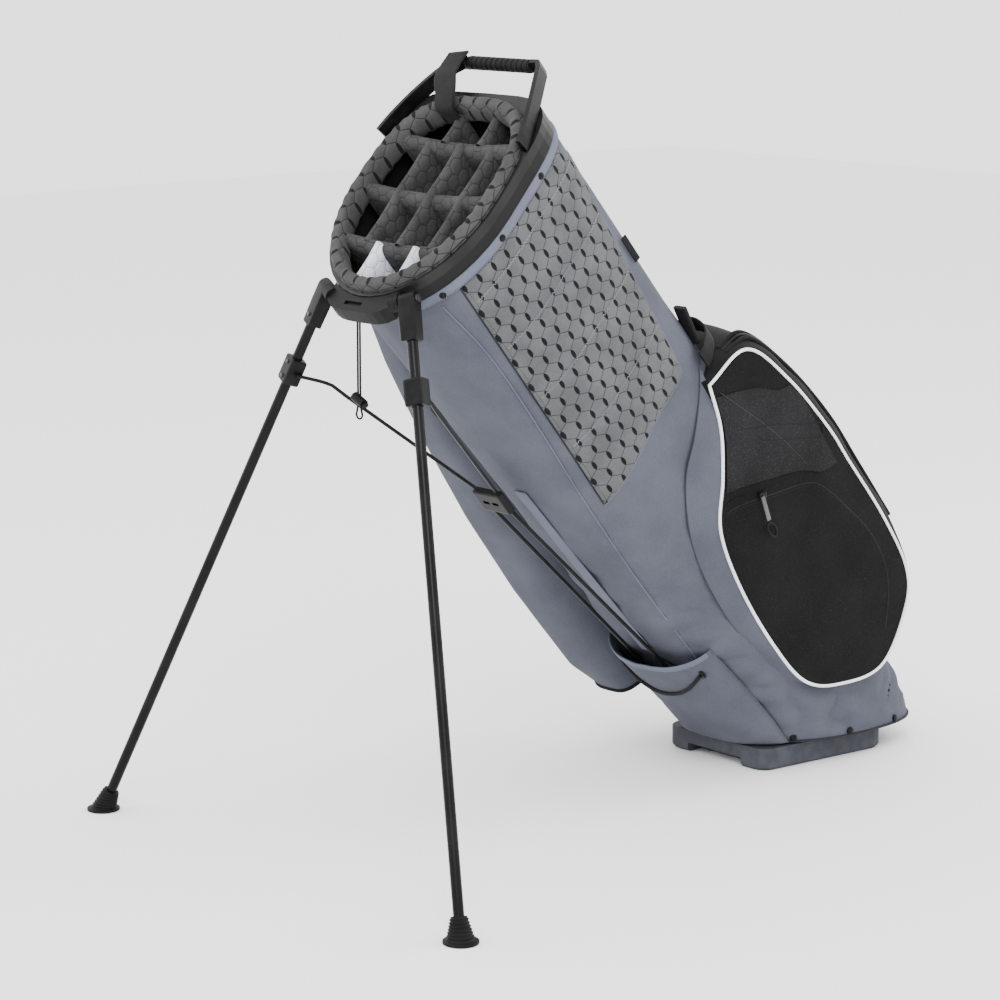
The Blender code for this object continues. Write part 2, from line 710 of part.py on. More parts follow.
# ---------------------------------------------------------------- legs
def make_head(bag, plastic):
    """Moulded head on the collar's leg side, with a pin lug at each end."""
    low = []
    high = []
    steps = 10
    back_line = []
    front_line = []
    for k in range(steps + 1):
        x = -HEAD_HALF + 2 * HEAD_HALF * k / steps
        back = outline_front(COLLAR_HALF_WIDTH, COLLAR_FRONT, COLLAR_BACK, FRONT_ROUND, x) - GAP
        back_line.append((x, back))
        front_line.append((x, HEAD_FRONT + 0.012 * (x / HEAD_HALF) ** 4))
    for x, y in back_line + front_line[::-1]:
        top = collar_top(y) - 0.0015
        high.append((x, y, top))
        low.append((x, y, top - HEAD_HEIGHT))
    head = piece("stand_head", loft([low, high]), plastic, bag)
    slot = block((HEAD_SLOT_LENGTH, HEAD_SLOT_WIDTH, 0.012), (-0.006, HEAD_FRONT + 0.010, COLLAR_TOP))
    boolean(head, cutter("head_slot", slot, bag))
    for side in (-1, 1):
        matrix = leg_matrix(side)
        hinge = matrix.to_3x3() @ Vector((1, 0, 0))
        pivot = matrix.translation
        inner = HOUSING_WIDTH / 2 + GAP
        outer = inner + HEAD_LUG_LENGTH
        lug = round_bar(pivot - hinge * inner, pivot - hinge * outer, HEAD_LUG_RADIUS, 20)
        boolean(head, cutter("head_lug_%d" % side, lug, bag), "UNION")
    for side in (-1, 1):
        matrix = leg_matrix(side)
        hinge = matrix.to_3x3() @ Vector((1, 0, 0))
        pivot = matrix.translation
        far = HOUSING_WIDTH / 2 + 2 * GAP
        near = HOUSING_WIDTH / 2 + HEAD_LUG_LENGTH + 0.0005
        bore = round_bar(pivot + hinge * far, pivot - hinge * near, PIN_RADIUS + BORE_PLAY, 16)
        boolean(head, cutter("head_bore_%d" % side, bore, bag))


def make_leg(side, bag, plastic, aluminium, rubber, steel):
    label = "right" if side > 0 else "left"
    matrix = leg_matrix(side)
    leg = frame_empty("leg_%s_axis" % label, matrix, bag)
    half = HOUSING_WIDTH / 2

    # pivot pin, fixed in the head: shank through the housing and a round head outside
    sides = 16
    profile = ((-half - HEAD_LUG_LENGTH, PIN_RADIUS), (half + GAP, PIN_RADIUS),
               (half + GAP, PIN_HEAD_RADIUS), (half + GAP + PIN_HEAD_THICK, PIN_HEAD_RADIUS))
    rings = [[(x, r * math.cos(math.tau * k / sides), r * math.sin(math.tau * k / sides))
              for k in range(sides)] for x, r in profile]
    piece("pivot_pin_" + label, loft(rings), steel, leg)

    # housing: round top about the pivot, straight sides, square foot
    outline = []
    for k in range(9):
        t = math.pi * k / 8
        outline.append((HOUSING_THICK / 2 * math.cos(t), HOUSING_THICK / 2 * math.sin(t)))
    outline += [(-HOUSING_THICK / 2, -HOUSING_LENGTH), (HOUSING_THICK / 2, -HOUSING_LENGTH)]
    rings = [[(x, y, z) for y, z in outline] for x in (-half, half)]
    housing = piece("leg_housing_" + label, loft(rings), plastic, leg)
    bore = round_bar((-half - 0.002, 0, 0), (half + 0.002, 0, 0), PIN_RADIUS + BORE_PLAY, 16)
    boolean(housing, cutter("housing_bore_" + label, bore, leg))

    # boot: sole flat on the ground, neck square to the leg
    pivot, foot, _, _ = leg_geometry(side)
    to_leg = (BAG @ matrix).inverted()
    count = 20
    sole = []
    for radius, z in ((BOOT_RADIUS, 0.0), (BOOT_RADIUS, BOOT_FLANGE), (BOOT_RADIUS * 0.78, BOOT_FLANGE)):
        sole.append([to_leg @ (foot + Vector((radius * math.cos(math.tau * k / count),
                                              radius * math.sin(math.tau * k / count), z)))
                     for k in range(count)])
    start = math.atan2(sole[2][0].y, sole[2][0].x)
    step = math.atan2(sole[2][1].y, sole[2][1].x) - start
    spin = 1 if math.sin(step) > 0 else -1
    neck_z = -LEG_LENGTH + BOOT_HEIGHT
    for radius, z in ((BOOT_NECK * 1.15, neck_z - 0.010), (BOOT_NECK, neck_z)):
        sole.append([(radius * math.cos(start + spin * math.tau * k / count),
                      radius * math.sin(start + spin * math.tau * k / count), z)
                     for k in range(count)])
    piece("boot_" + label, loft(sole), rubber, leg)

    tube = round_bar((0, 0, -HOUSING_LENGTH - GAP), (0, 0, neck_z + GAP), LEG_RADIUS, 16)
    piece("leg_tube_" + label, tube, aluminium, leg)

    shape = block((CLAMP_WIDTH, CLAMP_THICK, CLAMP_LENGTH), (0, 0, -CLAMP_PLACE), bevel=0.003)
    clamp = piece("leg_clamp_" + label, shape, plastic, leg)
    reach = CLAMP_LENGTH
    bore = round_bar((0, 0, -CLAMP_PLACE - reach), (0, 0, -CLAMP_PLACE + reach),
                     LEG_RADIUS + BORE_PLAY, 16)
    boolean(clamp, cutter("clamp_bore_" + label, bore, leg))


# ---------------------------------------------------------------- push linkage
def rod_point(side, z):
    """Centre line of a push rod at height z."""
    share = (YOKE_UP - z) / (YOKE_UP - ROD_MOUTH_UP)
    x = side * (ROD_TOP_HALF + (ROD_MOUTH_HALF - ROD_TOP_HALF) * share)
    y = YOKE_FRONT + (ROD_MOUTH_FRONT - YOKE_FRONT) * share
    return Vector((x, y, z))


def make_linkage(bag, plastic, steel):
    size = (YOKE_WIDTH, YOKE_THICK, YOKE_HEIGHT)
    centre = (0, YOKE_FRONT, YOKE_UP)
    yoke = piece("yoke_block", block(size, bevel=0.002), plastic, bag, centre)
    for side in (-1, 1):
        slot = block((YOKE_SLOT_LENGTH, 2 * YOKE_THICK, YOKE_SLOT_WIDTH),
                     (side * YOKE_SLOT_PLACE, YOKE_FRONT, YOKE_UP))
        boolean(yoke, cutter("yoke_slot_%d" % side, slot, bag))

    for side in (-1, 1):
        label = "right" if side > 0 else "left"
        top = rod_point(side, YOKE_UP - YOKE_HEIGHT / 2 - GAP)
        rod = round_bar(Vector(), rod_point(side, ROD_END_UP) - top, ROD_RADIUS, 12)
        piece("push_rod_" + label, rod, steel, bag, top)

        matrix = leg_matrix(side)
        leg_way = matrix.to_3x3() @ Vector((0, 0, -1))
        inward = -(matrix.to_3x3() @ Vector((1, 0, 0)))
        beside = CLAMP_WIDTH / 2 + LINK_RADIUS + OPEN_PIVOT_CLEARANCE
        joint = matrix.translation + leg_way * CLAMP_PLACE + inward * beside
        foot = Vector((side * LINK_FOOT_HALF, YOKE_FRONT, YOKE_UP + YOKE_HEIGHT / 2 + LINK_RADIUS + GAP))
        bend = joint + Vector((side * LINK_BEND[0], LINK_BEND[1], LINK_BEND[2]))
        route = even_path((joint, bend, bend.lerp(foot, 0.12), bend.lerp(foot, 0.6), foot), 0.010)
        cord("link_rod_" + label, route, LINK_RADIUS, steel, bag, foot)


# ---------------------------------------------------------------- cords
def make_shock_cord(bag, elastic):
    clear = SHOCK_RADIUS + 0.0010
    points = []
    for share in (-1.0, -0.93, -0.6, -0.3, 0.0, 0.3, 0.6, 0.93, 1.0):
        x = share * SHOCK_HALF
        z = SHOCK_UP - SHOCK_SAG * (1.0 - share ** 2)
        lift = clear + (0.003 if abs(share) < 0.95 else 0.0)
        points.append(sleeve_skin(x, z, SLEEVE_WALL + lift))
    cord("shock_cord", even_path(points, 0.009), SHOCK_RADIUS, elastic, bag)


def make_retention_cord(bag, ground, elastic, plastic, steel):
    """Elastic loop hanging plumb from the head, through a barrel lock with a sprung button."""
    top_z = collar_top(CORD_EXIT[1]) - 0.0015 - HEAD_HEIGHT - GAP
    start = BAG @ Vector((CORD_EXIT[0], CORD_EXIT[1], top_z)) - Vector((0, 0, 2 * CORD_RADIUS))
    lock = start + Vector((0, 0, -CORD_DROP))
    near = CORD_HALF_SPACE
    down = []
    for share in (0.0, 0.15, 0.5, 0.85, 1.0, 1.06):
        down.append(start + Vector((-near, 0.0, -CORD_DROP * share)))
    turn = []
    middle = lock + Vector((0.0, 0.0, -LOOP_DROP))
    for k in range(5):
        t = math.pi + math.pi * k / 4
        turn.append(middle + LOOP_RADIUS * Vector((math.cos(t), 0.0, math.sin(t))))
    up = [Vector((2 * start.x - point.x, point.y, point.z)) for point in reversed(down)]
    cord("retention_cord", even_path(down + turn + up, 0.0055), CORD_RADIUS, elastic, ground)

    way = Vector((math.cos(LOCK_TILT), 0.0, -math.sin(LOCK_TILT)))
    half = LOCK_LENGTH / 2
    barrel = piece("cord_lock_barrel", round_bar(-way * half, way * half, LOCK_RADIUS, 20),
                   plastic, ground, lock)
    passage = block((2 * (near + CORD_RADIUS) + 0.0014, 2 * CORD_RADIUS + 0.0010, 4 * LOCK_RADIUS), lock)
    boolean(barrel, cutter("lock_passage", passage, ground))
    floor = half - LOCK_BORE_DEPTH
    bore = round_bar(lock + way * floor, lock + way * (half + 0.004), LOCK_BORE, 16)
    boolean(barrel, cutter("lock_bore", bore, ground))
    button_start = floor + BUTTON_TRAVEL + 0.0014
    button = round_bar(way * button_start, way * (half + BUTTON_OUT), LOCK_BORE - BORE_PLAY, 16)
    piece("cord_lock_button", button, plastic, ground, lock)


# ---------------------------------------------------------------- handle
def arm_route(side):
    points = (
        (0.1235, 0.186, collar_top(0.186) + ARM_HEIGHT / 2 + 2 * GAP),
        (0.1175, 0.208, collar_top(0.208) + ARM_HEIGHT / 2 + 0.0010),
        (0.1040, 0.240, collar_top(0.240) + ARM_HEIGHT / 2 + 0.0015),
        (0.0850, 0.278, GRIP_UP),
        (GRIP_HALF + 0.015, GRIP_BACK - 0.001, GRIP_UP),
        (GRIP_HALF + 0.001, GRIP_BACK, GRIP_UP),
    )
    return even_path([(side * x, y, z) for x, y, z in points], 0.012)


def make_handle(bag, plastic, rubber, webbing):
    count = 16
    profile = ((-GRIP_HALF, 0.6), (-GRIP_HALF + 0.004, 1.0), (GRIP_HALF - 0.004, 1.0), (GRIP_HALF, 0.6))
    rings = [[(x, GRIP_RADIUS * r * math.cos(math.tau * k / count),
               GRIP_RADIUS * r * math.sin(math.tau * k / count)) for k in range(count)]
             for x, r in profile]
    piece("handle_grip", loft(rings), rubber, bag, (0, GRIP_BACK, GRIP_UP))
    for side, label in ((1, "right"), (-1, "left")):
        route = arm_route(side)
        shape = ribbon(route, [(0, 0, 1)] * len(route), ARM_HEIGHT, ARM_THICK)
        piece("handle_arm_" + label, shape, plastic, bag)

    top = GRIP_UP + ARM_HEIGHT / 2 + 0.0010 + WEBBING_THICK / 2
    rim_back = rim_outline(RIM_WIDTH)[2]
    low = rim_back - 0.0080
    route = even_path((
        (-0.0700, GRIP_BACK + 0.004, top),
        (-0.0660, GRIP_BACK - 0.018, top),
        (-0.0590, GRIP_BACK - 0.036, top),
        (-0.0460, rim_back + 0.010, top - 0.005),
        (-0.0400, low, top - 0.016),
        (-0.0340, low, top - 0.034),
    ), 0.008)
    shape = ribbon(route, [(1, 0, 0)] * len(route), WEBBING_WIDTH, WEBBING_THICK)
    piece("handle_webbing", shape, webbing, bag, smooth=60)


def make_lift_handle(bag, webbing):
    """Webbing loop standing off the spine above the ball pocket."""
    half, front, back, _, back_round = station(LIFT_UP)
    points = []
    for share, stand in ((0.0, 0.05), (0.12, 0.7), (0.3, 1.0), (0.55, 1.0), (0.8, 0.9), (1.0, 0.6)):
        x = LIFT_REACH[0] + (LIFT_REACH[1] - LIFT_REACH[0]) * share
        y = front + back - outline_front(half, front, back, back_round, x)
        points.append((x + 0.5 * LIFT_STAND * stand * share,
                       y + LIFT_THICK / 2 + 2 * GAP + LIFT_STAND * stand, LIFT_UP))
    route = even_path(points, 0.008)
    shape = ribbon(route, [(0, 0, 1)] * len(route), LIFT_WIDTH, LIFT_THICK)
    piece("lift_handle", shape, webbing, bag, smooth=60)


# ---------------------------------------------------------------- zip sliders and pulls
def make_zip(label, pull_length, way, pull_way, normal, centre, bag, steel, rubber):
    """A slider proud of the cloth with a hinged pull; the pull's zero is on its hinge."""
    way = Vector(way).normalized()
    normal = Vector(normal).normalized()
    turn = Matrix((way, normal.cross(way), normal)).transposed()
    size = (SLIDER_LENGTH, SLIDER_WIDTH, SLIDER_HEIGHT)
    place = Vector(centre) + normal * (SLIDER_HEIGHT / 2 + GAP)
    piece(label + "_slider", block(size, turn=turn, bevel=0.0012), steel, bag, place)
    pull_way = Vector(pull_way).normalized()
    turn = Matrix((pull_way, normal.cross(pull_way), normal)).transposed()
    size = (pull_length, PULL_WIDTH, PULL_THICK)
    hinge = place + normal * (SLIDER_HEIGHT / 2 + GAP + PULL_THICK / 2)
    shape = block(size, pull_way * (pull_length / 2), turn=turn, bevel=0.0008)
    piece(label + "_pull", shape, rubber, bag, hinge)


def make_zips(bag, steel, rubber):
    y, z = FRONT_ZIP
    make_zip("front_zip", FRONT_PULL_LENGTH, (0, *FRONT_ZIP_WAY), (0, *FRONT_PULL_WAY), (1, 0, 0),
             (POCKET_RIGHT, y, z), bag, steel, rubber)
    x, y = TOP_ZIP
    top = max(point[1] for point in POCKET_OUTLINE)
    make_zip("top_zip", TOP_PULL_LENGTH, (1, 0, 0), (*TOP_PULL_WAY, 0), (0, 0, 1),
             (x, y, top + 0.0010), bag, steel, rubber)


def centre_on_floor(ground):
    """Shift everything so the base plane is z = 0 and the outline is centred on x = y = 0."""
    bpy.context.view_layer.update()
    graph = bpy.context.evaluated_depsgraph_get()
    points = []
    for item in bpy.context.scene.objects:
        if item.type == "EMPTY" or item.hide_render or "cord" in item.name:
            continue
        solid = item.evaluated_get(graph)
        mesh = solid.to_mesh()
        points += [solid.matrix_world @ vertex.co for vertex in mesh.vertices]
        solid.to_mesh_clear()
    low = [min(point[axis] for point in points) for axis in range(3)]
    high = [max(point[axis] for point in points) for axis in range(3)]
    ground.location = (-(low[0] + high[0]) / 2, -(low[1] + high[1]) / 2, -low[2])


def build():
    clear_scene()
    ground = frame_empty("ground_frame", Matrix())
    bag = frame_empty("bag_frame", BAG, ground)

    grey_cloth = finish("slate_fabric", (0.16, 0.175, 0.21), 0.85)
    black_cloth = finish("black_fabric", (0.012, 0.012, 0.013), 0.85)
    lining = finish("lining_fabric", (0.09, 0.09, 0.095), 0.85)
    white_lining = finish("white_lining", (0.62, 0.63, 0.68), 0.8)
    plastic = finish("black_plastic", (0.014, 0.014, 0.015), 0.45)
    grey_plastic = finish("grey_plastic", (0.12, 0.12, 0.125), 0.5)
    rubber = finish("black_rubber", (0.010, 0.010, 0.010), 0.6)
    aluminium = finish("black_tube", (0.010, 0.010, 0.011), 0.35, 0.6)
    steel = finish("black_steel", (0.015, 0.015, 0.016), 0.35, 0.8)
    elastic = finish("black_elastic", (0.010, 0.010, 0.010), 0.8)
    webbing = finish("black_webbing", (0.010, 0.010, 0.010), 0.85)

    make_collar(bag, plastic)
    make_rim(bag, lining)
    make_dividers(bag, lining, white_lining)
    make_body(bag, grey_cloth)
    core = make_body_core(bag)
    make_pocket(bag, black_cloth, core)
    make_garment_pocket(bag, grey_cloth, core)
    make_sleeve(bag, grey_cloth)
    make_base(ground, grey_plastic, steel)
    make_head(bag, plastic)
    for side in (-1, 1):
        make_leg(side, bag, plastic, aluminium, rubber, steel)
    make_linkage(bag, plastic, steel)
    make_shock_cord(bag, elastic)
    make_retention_cord(bag, ground, elastic, plastic, steel)
    make_handle(bag, plastic, rubber, webbing)
    make_lift_handle(bag, webbing)
    make_zips(bag, steel, rubber)
    centre_on_floor(ground)


build()
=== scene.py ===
"""Looks of the golf stand bag: sewn fabric, padding, trims and hardware around the fixed frame.

Bag coordinates: x across the bag, y from the leg side to the spine, z up the bag's long axis.
"""

import json
import math

import bmesh
import bpy
import numpy as np
from mathutils import Matrix, Vector, noise

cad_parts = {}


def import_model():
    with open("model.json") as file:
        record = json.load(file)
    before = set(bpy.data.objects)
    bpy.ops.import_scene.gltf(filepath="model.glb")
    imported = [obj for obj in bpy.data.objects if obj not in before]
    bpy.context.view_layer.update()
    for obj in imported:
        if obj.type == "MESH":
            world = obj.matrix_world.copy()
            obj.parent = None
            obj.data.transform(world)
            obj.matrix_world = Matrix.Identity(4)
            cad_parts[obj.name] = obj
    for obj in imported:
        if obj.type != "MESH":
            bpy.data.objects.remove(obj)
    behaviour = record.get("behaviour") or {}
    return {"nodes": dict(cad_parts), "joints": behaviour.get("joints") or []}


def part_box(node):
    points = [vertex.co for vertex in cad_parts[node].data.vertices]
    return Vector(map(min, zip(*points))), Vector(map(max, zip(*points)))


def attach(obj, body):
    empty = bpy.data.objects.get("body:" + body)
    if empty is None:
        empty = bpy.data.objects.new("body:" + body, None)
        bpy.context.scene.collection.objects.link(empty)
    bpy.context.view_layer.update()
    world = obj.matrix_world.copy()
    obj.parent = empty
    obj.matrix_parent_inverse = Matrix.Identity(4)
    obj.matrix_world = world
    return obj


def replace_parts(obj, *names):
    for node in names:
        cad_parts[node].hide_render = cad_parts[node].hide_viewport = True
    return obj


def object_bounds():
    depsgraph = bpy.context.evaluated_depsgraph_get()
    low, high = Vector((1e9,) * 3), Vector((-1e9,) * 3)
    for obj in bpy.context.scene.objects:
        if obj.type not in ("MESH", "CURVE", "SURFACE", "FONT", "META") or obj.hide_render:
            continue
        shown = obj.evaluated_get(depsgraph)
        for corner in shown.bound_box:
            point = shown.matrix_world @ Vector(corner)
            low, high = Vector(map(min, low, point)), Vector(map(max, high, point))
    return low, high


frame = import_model()
cad_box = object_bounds()

# ---------------------------------------------------------------- frame of the bag
LEAN = math.radians(40)
low_corner, high_corner = (Vector(corner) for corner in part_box("base_moulding"))
ORIGIN = Vector(((low_corner.x + high_corner.x) / 2, low_corner.y, low_corner.z))
TILT = Matrix.Rotation(LEAN, 4, "X")
BAG_TURN = np.array(TILT.to_3x3())
BAG_ZERO = np.array(ORIGIN)


def world(points):
    """Bag coordinates to world coordinates, for one point or an array of them."""
    return np.asarray(points, float) @ BAG_TURN.T + BAG_ZERO


def bag_verts(node):
    """A frame node's vertices in bag coordinates."""
    item = frame["nodes"][node]
    points = np.array([item.matrix_world @ vertex.co for vertex in item.data.vertices])
    return (points - BAG_ZERO) @ BAG_TURN


# ---------------------------------------------------------------- sizes shared with the frame
COLLAR_HALF, COLLAR_FRONT, COLLAR_BACK = 0.1285, -0.0270, 0.2630
COLLAR_TOP, COLLAR_HEIGHT, RAKE = 0.8760, 0.0260, math.radians(8.8)
FRONT_ROUND, RIM_ROUND = 2.0, 2.8
RIM_STEP, RIM_WIDTH, RIM_BACK_SET = 0.0048, 0.0170, 0.0055
BAR_PLACES = (0.0500, 0.1220, 0.1950)
BAR_DROP, SEPARATOR_DROP = 0.0040, 0.0080
SEPARATORS = ((-0.033, 0.033), (-0.056, 0.0, 0.056), (-0.056, 0.0, 0.056), (-0.031, 0.031))
STATIONS = (
    (-0.260, 0.1130, 0.0350, 0.2150, 2.60, 2.6),
    (-0.170, 0.1160, 0.0350, 0.2500, 2.60, 2.6),
    (-0.080, 0.1180, 0.0350, 0.2740, 2.60, 2.8),
    (0.040, 0.1200, 0.0350, 0.2840, 2.60, 3.0),
    (0.100, 0.1210, 0.0280, 0.2860, 2.50, 3.2),
    (0.200, 0.1220, 0.0145, 0.2880, 2.50, 3.4),
    (0.400, 0.1230, 0.0020, 0.2800, 2.50, 3.6),
    (0.600, 0.1250, -0.0080, 0.2680, 2.40, 3.8),
    (0.800, 0.1260, -0.0160, 0.2650, 2.30, 4.0),
    (0.900, 0.1270, -0.0230, 0.2630, 2.10, 4.2),
)
HEM_HEIGHT = 0.0320
SLEEVE_LEFT, SLEEVE_RIGHT, SLEEVE_TOP = -0.0865, 0.0880, 0.2000
SLEEVE_DEPTH, SLEEVE_WALL, SLEEVE_AIR = 0.0180, 0.0025, 0.0016
SHOCK_HALF, SHOCK_UP, SHOCK_SAG, SHOCK_RADIUS = 0.0730, 0.1730, 0.0350, 0.0025
LEG_LENGTH, LEG_RADIUS, CLAMP_PLACE = 0.7200, 0.0062, 0.1080
HOUSING_ROUND, HOUSING_LENGTH = 0.0090, 0.0480
BOOT_NECK, BOOT_HEIGHT = 0.0095, 0.0270
GRIP_BACK, GRIP_UP = 0.3000, 0.9320
CORD_RADIUS, CORD_HALF_SPACE, LOOP_RADIUS = 0.00125, 0.0022, 0.0053
HEX_WIDE, HEX_ROW, HEX_LIFT = 0.0212, 0.0203, 0.01015
PANEL_LEVELS = (0.50, 0.53, 0.70, 0.80, 0.86)
PANEL_REACH = (0.203, 0.207, 0.224, 0.238, 0.250)


def smooth_station(z):
    rows = np.array(STATIONS)
    return [float(np.interp(z, rows[:, 0], rows[:, k])) for k in range(1, 6)]


def power_outline(half, front, back, front_round, back_round, turn):
    c, s = math.cos(turn), math.sin(turn)
    power = 2.0 / (back_round if s >= 0 else front_round)
    return (half * math.copysign(abs(c) ** power, c),
            (front + back) / 2 + (back - front) / 2 * math.copysign(abs(s) ** power, s))


def collar_top(y):
    return COLLAR_TOP + math.tan(RAKE) * (y - COLLAR_FRONT)


def hem_up(y):
    return (HEM_HEIGHT - y * math.sin(LEAN)) / math.cos(LEAN)


def body_xy(turn, z, out=0.0):
    half, front, back, front_round, back_round = smooth_station(z)
    return power_outline(half + out, front - out, back + out, front_round, back_round, turn)


def body_ends(turn):
    """Heights of the body's top and hem at one turn."""
    top, low = 0.88, 0.0
    for _ in range(20):
        top = 0.5 * (top + collar_top(body_xy(turn, top)[1]) - COLLAR_HEIGHT - 0.0003)
        low = 0.5 * (low + hem_up(body_xy(turn, low)[1]))
    return top, low


def body_at_y(y, z, out=0.0):
    """The body's right side point at depth y and height z, standing out by out."""
    half, front, back, front_round, back_round = smooth_station(z)
    half, front, back = half + out, front - out, back + out
    middle = (front + back) / 2
    power = back_round if y >= middle else front_round
    share = min(abs(y - middle) / ((back - front) / 2), 0.9999)
    return (half * (1.0 - share ** power) ** (1.0 / power), y, z)


def body_front_y(x, z):
    half, front, back, front_round, _ = smooth_station(z)
    deep = (back - front) / 2
    share = min(abs(x) / half, 1.0)
    return front + deep - deep * (1.0 - share ** front_round) ** (1.0 / front_round)


def fold(x, y, z, size, seed=0.0):
    """Soft noise of about -1 to 1 with creases of the given size."""
    return noise.noise(Vector((x / size + seed, y / size - seed, z / size + 0.37 * seed)))


def spline(points, count):
    """An even smooth curve through points."""
    points = [np.asarray(p, float) for p in points]
    points = [2 * points[0] - points[1]] + points + [2 * points[-1] - points[-2]]
    fine = []
    for i in range(len(points) - 3):
        a, b, c, d = points[i:i + 4]
        for t in np.linspace(0, 1, 24, endpoint=i == len(points) - 4):
            fine.append(0.5 * (2 * b + (c - a) * t + (2 * a - 5 * b + 4 * c - d) * t * t
                               + (3 * b - a - 3 * c + d) * t ** 3))
    fine = np.array(fine)
    run = np.concatenate([[0], np.cumsum(np.linalg.norm(np.diff(fine, axis=0), axis=1))])
    at = np.linspace(0, run[-1], count)
    return np.stack([np.interp(at, run, fine[:, k]) for k in range(fine.shape[1])], axis=1)


# ---------------------------------------------------------------- shader groups
def new_group(name, inputs, outputs):
    group = bpy.data.node_groups.new(name, "ShaderNodeTree")
    for label, kind, value in inputs:
        socket = group.interface.new_socket(label, in_out="INPUT", socket_type=kind)
        if value is not None:
            socket.default_value = value
    for label, kind in outputs:
        group.interface.new_socket(label, in_out="OUTPUT", socket_type=kind)
    return group, group.nodes.new("NodeGroupInput"), group.nodes.new("NodeGroupOutput")


class Sums:
    """Writes maths nodes into a tree."""

    def __init__(self, tree):
        self.tree = tree

    def plug(self, socket, value):
        if isinstance(value, (int, float)):
            socket.default_value = value
        else:
            self.tree.links.new(value, socket)

    def math(self, operation, *values, clamp=False):
        node = self.tree.nodes.new("ShaderNodeMath")
        node.operation = operation
        node.use_clamp = clamp
        for socket, value in zip(node.inputs, values):
            self.plug(socket, value)
        return node.outputs[0]

    def step(self, value, low, high):
        node = self.tree.nodes.new("ShaderNodeMapRange")
        node.interpolation_type = "SMOOTHSTEP"
        self.plug(node.inputs["Value"], value)
        self.plug(node.inputs["From Min"], low)
        self.plug(node.inputs["From Max"], high)
        return node.outputs[0]

    def noise(self, vector, scale, detail=3.0):
        node = self.tree.nodes.new("ShaderNodeTexNoise")
        self.tree.links.new(vector, node.inputs["Vector"])
        self.plug(node.inputs["Scale"], scale)
        node.inputs["Detail"].default_value = detail
        return node.outputs[0]


def make_hex_group():
    """Pointed hexagons: Line masks every edge, Dash the upright edges as fat ovals."""
    group, source, result = new_group(
        "hex_mesh",
        [("Vector", "NodeSocketVector", None), ("Width", "NodeSocketFloat", 0.0212),
         ("Row", "NodeSocketFloat", 0.0203), ("Line", "NodeSocketFloat", 0.03),
         ("Dash", "NodeSocketFloat", 0.1)],
        [("Line", "NodeSocketFloat"), ("Dash", "NodeSocketFloat"), ("Edge", "NodeSocketFloat")])
    s = Sums(group)
    split = group.nodes.new("ShaderNodeSeparateXYZ")
    group.links.new(source.outputs["Vector"], split.inputs[0])
    px = s.math("DIVIDE", split.outputs[0], source.outputs["Width"])
    py = s.math("MULTIPLY", s.math("DIVIDE", split.outputs[1], source.outputs["Row"]), 0.866)

    def cell(ox, oy):
        x = s.math("SUBTRACT", s.math("FLOORED_MODULO", s.math("ADD", px, ox), 1.0), 0.5)
        y = s.math("SUBTRACT", s.math("FLOORED_MODULO", s.math("ADD", py, oy), 1.732), 0.866)
        size = s.math("ADD", s.math("MULTIPLY", x, x), s.math("MULTIPLY", y, y))
        return s.math("ABSOLUTE", x), s.math("ABSOLUTE", y), size
    ax, ay, asize = cell(0.0, 0.0)
    bx, by, bsize = cell(0.5, 0.866)
    pick = s.math("LESS_THAN", asize, bsize)
    rest = s.math("SUBTRACT", 1.0, pick)
    x = s.math("ADD", s.math("MULTIPLY", ax, pick), s.math("MULTIPLY", bx, rest))
    y = s.math("ADD", s.math("MULTIPLY", ay, pick), s.math("MULTIPLY", by, rest))
    slant = s.math("ADD", s.math("MULTIPLY", x, 0.5), s.math("MULTIPLY", y, 0.866))
    edge = s.math("SUBTRACT", 0.5, s.math("MAXIMUM", x, slant))
    line = s.step(edge, source.outputs["Line"], 0.004)
    reach = s.math("MULTIPLY", s.math("DIVIDE", y, 0.27), s.math("DIVIDE", y, 0.27))
    oval = s.math("SQRT", s.math("MAXIMUM", s.math("SUBTRACT", 1.0, reach), 0.0))
    wide = s.math("MULTIPLY", oval, source.outputs["Dash"])
    gap = s.math("SUBTRACT", s.math("SUBTRACT", 0.5, x), wide)
    dash = s.step(gap, 0.02, -0.02)
    group.links.new(line, result.inputs["Line"])
    group.links.new(dash, result.inputs["Dash"])
    group.links.new(edge, result.inputs["Edge"])
    return group


def make_cloth_group():
    """Fine weave with long soft colour drift: Shade for colour, Height for bump."""
    group, source, result = new_group(
        "cloth_tone",
        [("Vector", "NodeSocketVector", None), ("Thread", "NodeSocketFloat", 900.0),
         ("Drift", "NodeSocketFloat", 14.0)],
        [("Shade", "NodeSocketFloat"), ("Height", "NodeSocketFloat")])
    s = Sums(group)
    split = group.nodes.new("ShaderNodeSeparateXYZ")
    group.links.new(source.outputs["Vector"], split.inputs[0])
    warp = s.math("SINE", s.math("MULTIPLY", s.math("ADD", split.outputs[0], split.outputs[1]),
                                 source.outputs["Thread"]))
    weft = s.math("SINE", s.math("MULTIPLY", s.math("ADD", split.outputs[2], split.outputs[0]),
                                 source.outputs["Thread"]))
    weave = s.math("MULTIPLY", warp, weft)
    drift = s.noise(source.outputs["Vector"], source.outputs["Drift"], 4.0)
    grain = s.noise(source.outputs["Vector"], 420.0, 2.0)
    shade = s.math("ADD", s.math("MULTIPLY", drift, 0.7), s.math("MULTIPLY", grain, 0.3))
    height = s.math("ADD", s.math("MULTIPLY", weave, 0.5), grain)
    group.links.new(shade, result.inputs["Shade"])
    group.links.new(height, result.inputs["Height"])
    return group


HEX = make_hex_group()
CLOTH = make_cloth_group()


def new_material(name, roughness, metallic=0.0):
    material = bpy.data.materials.new(name)
    material.use_nodes = True
    shader = material.node_tree.nodes["Principled BSDF"]
    shader.inputs["Roughness"].default_value = roughness
    shader.inputs["Metallic"].default_value = metallic
    return material, material.node_tree, shader


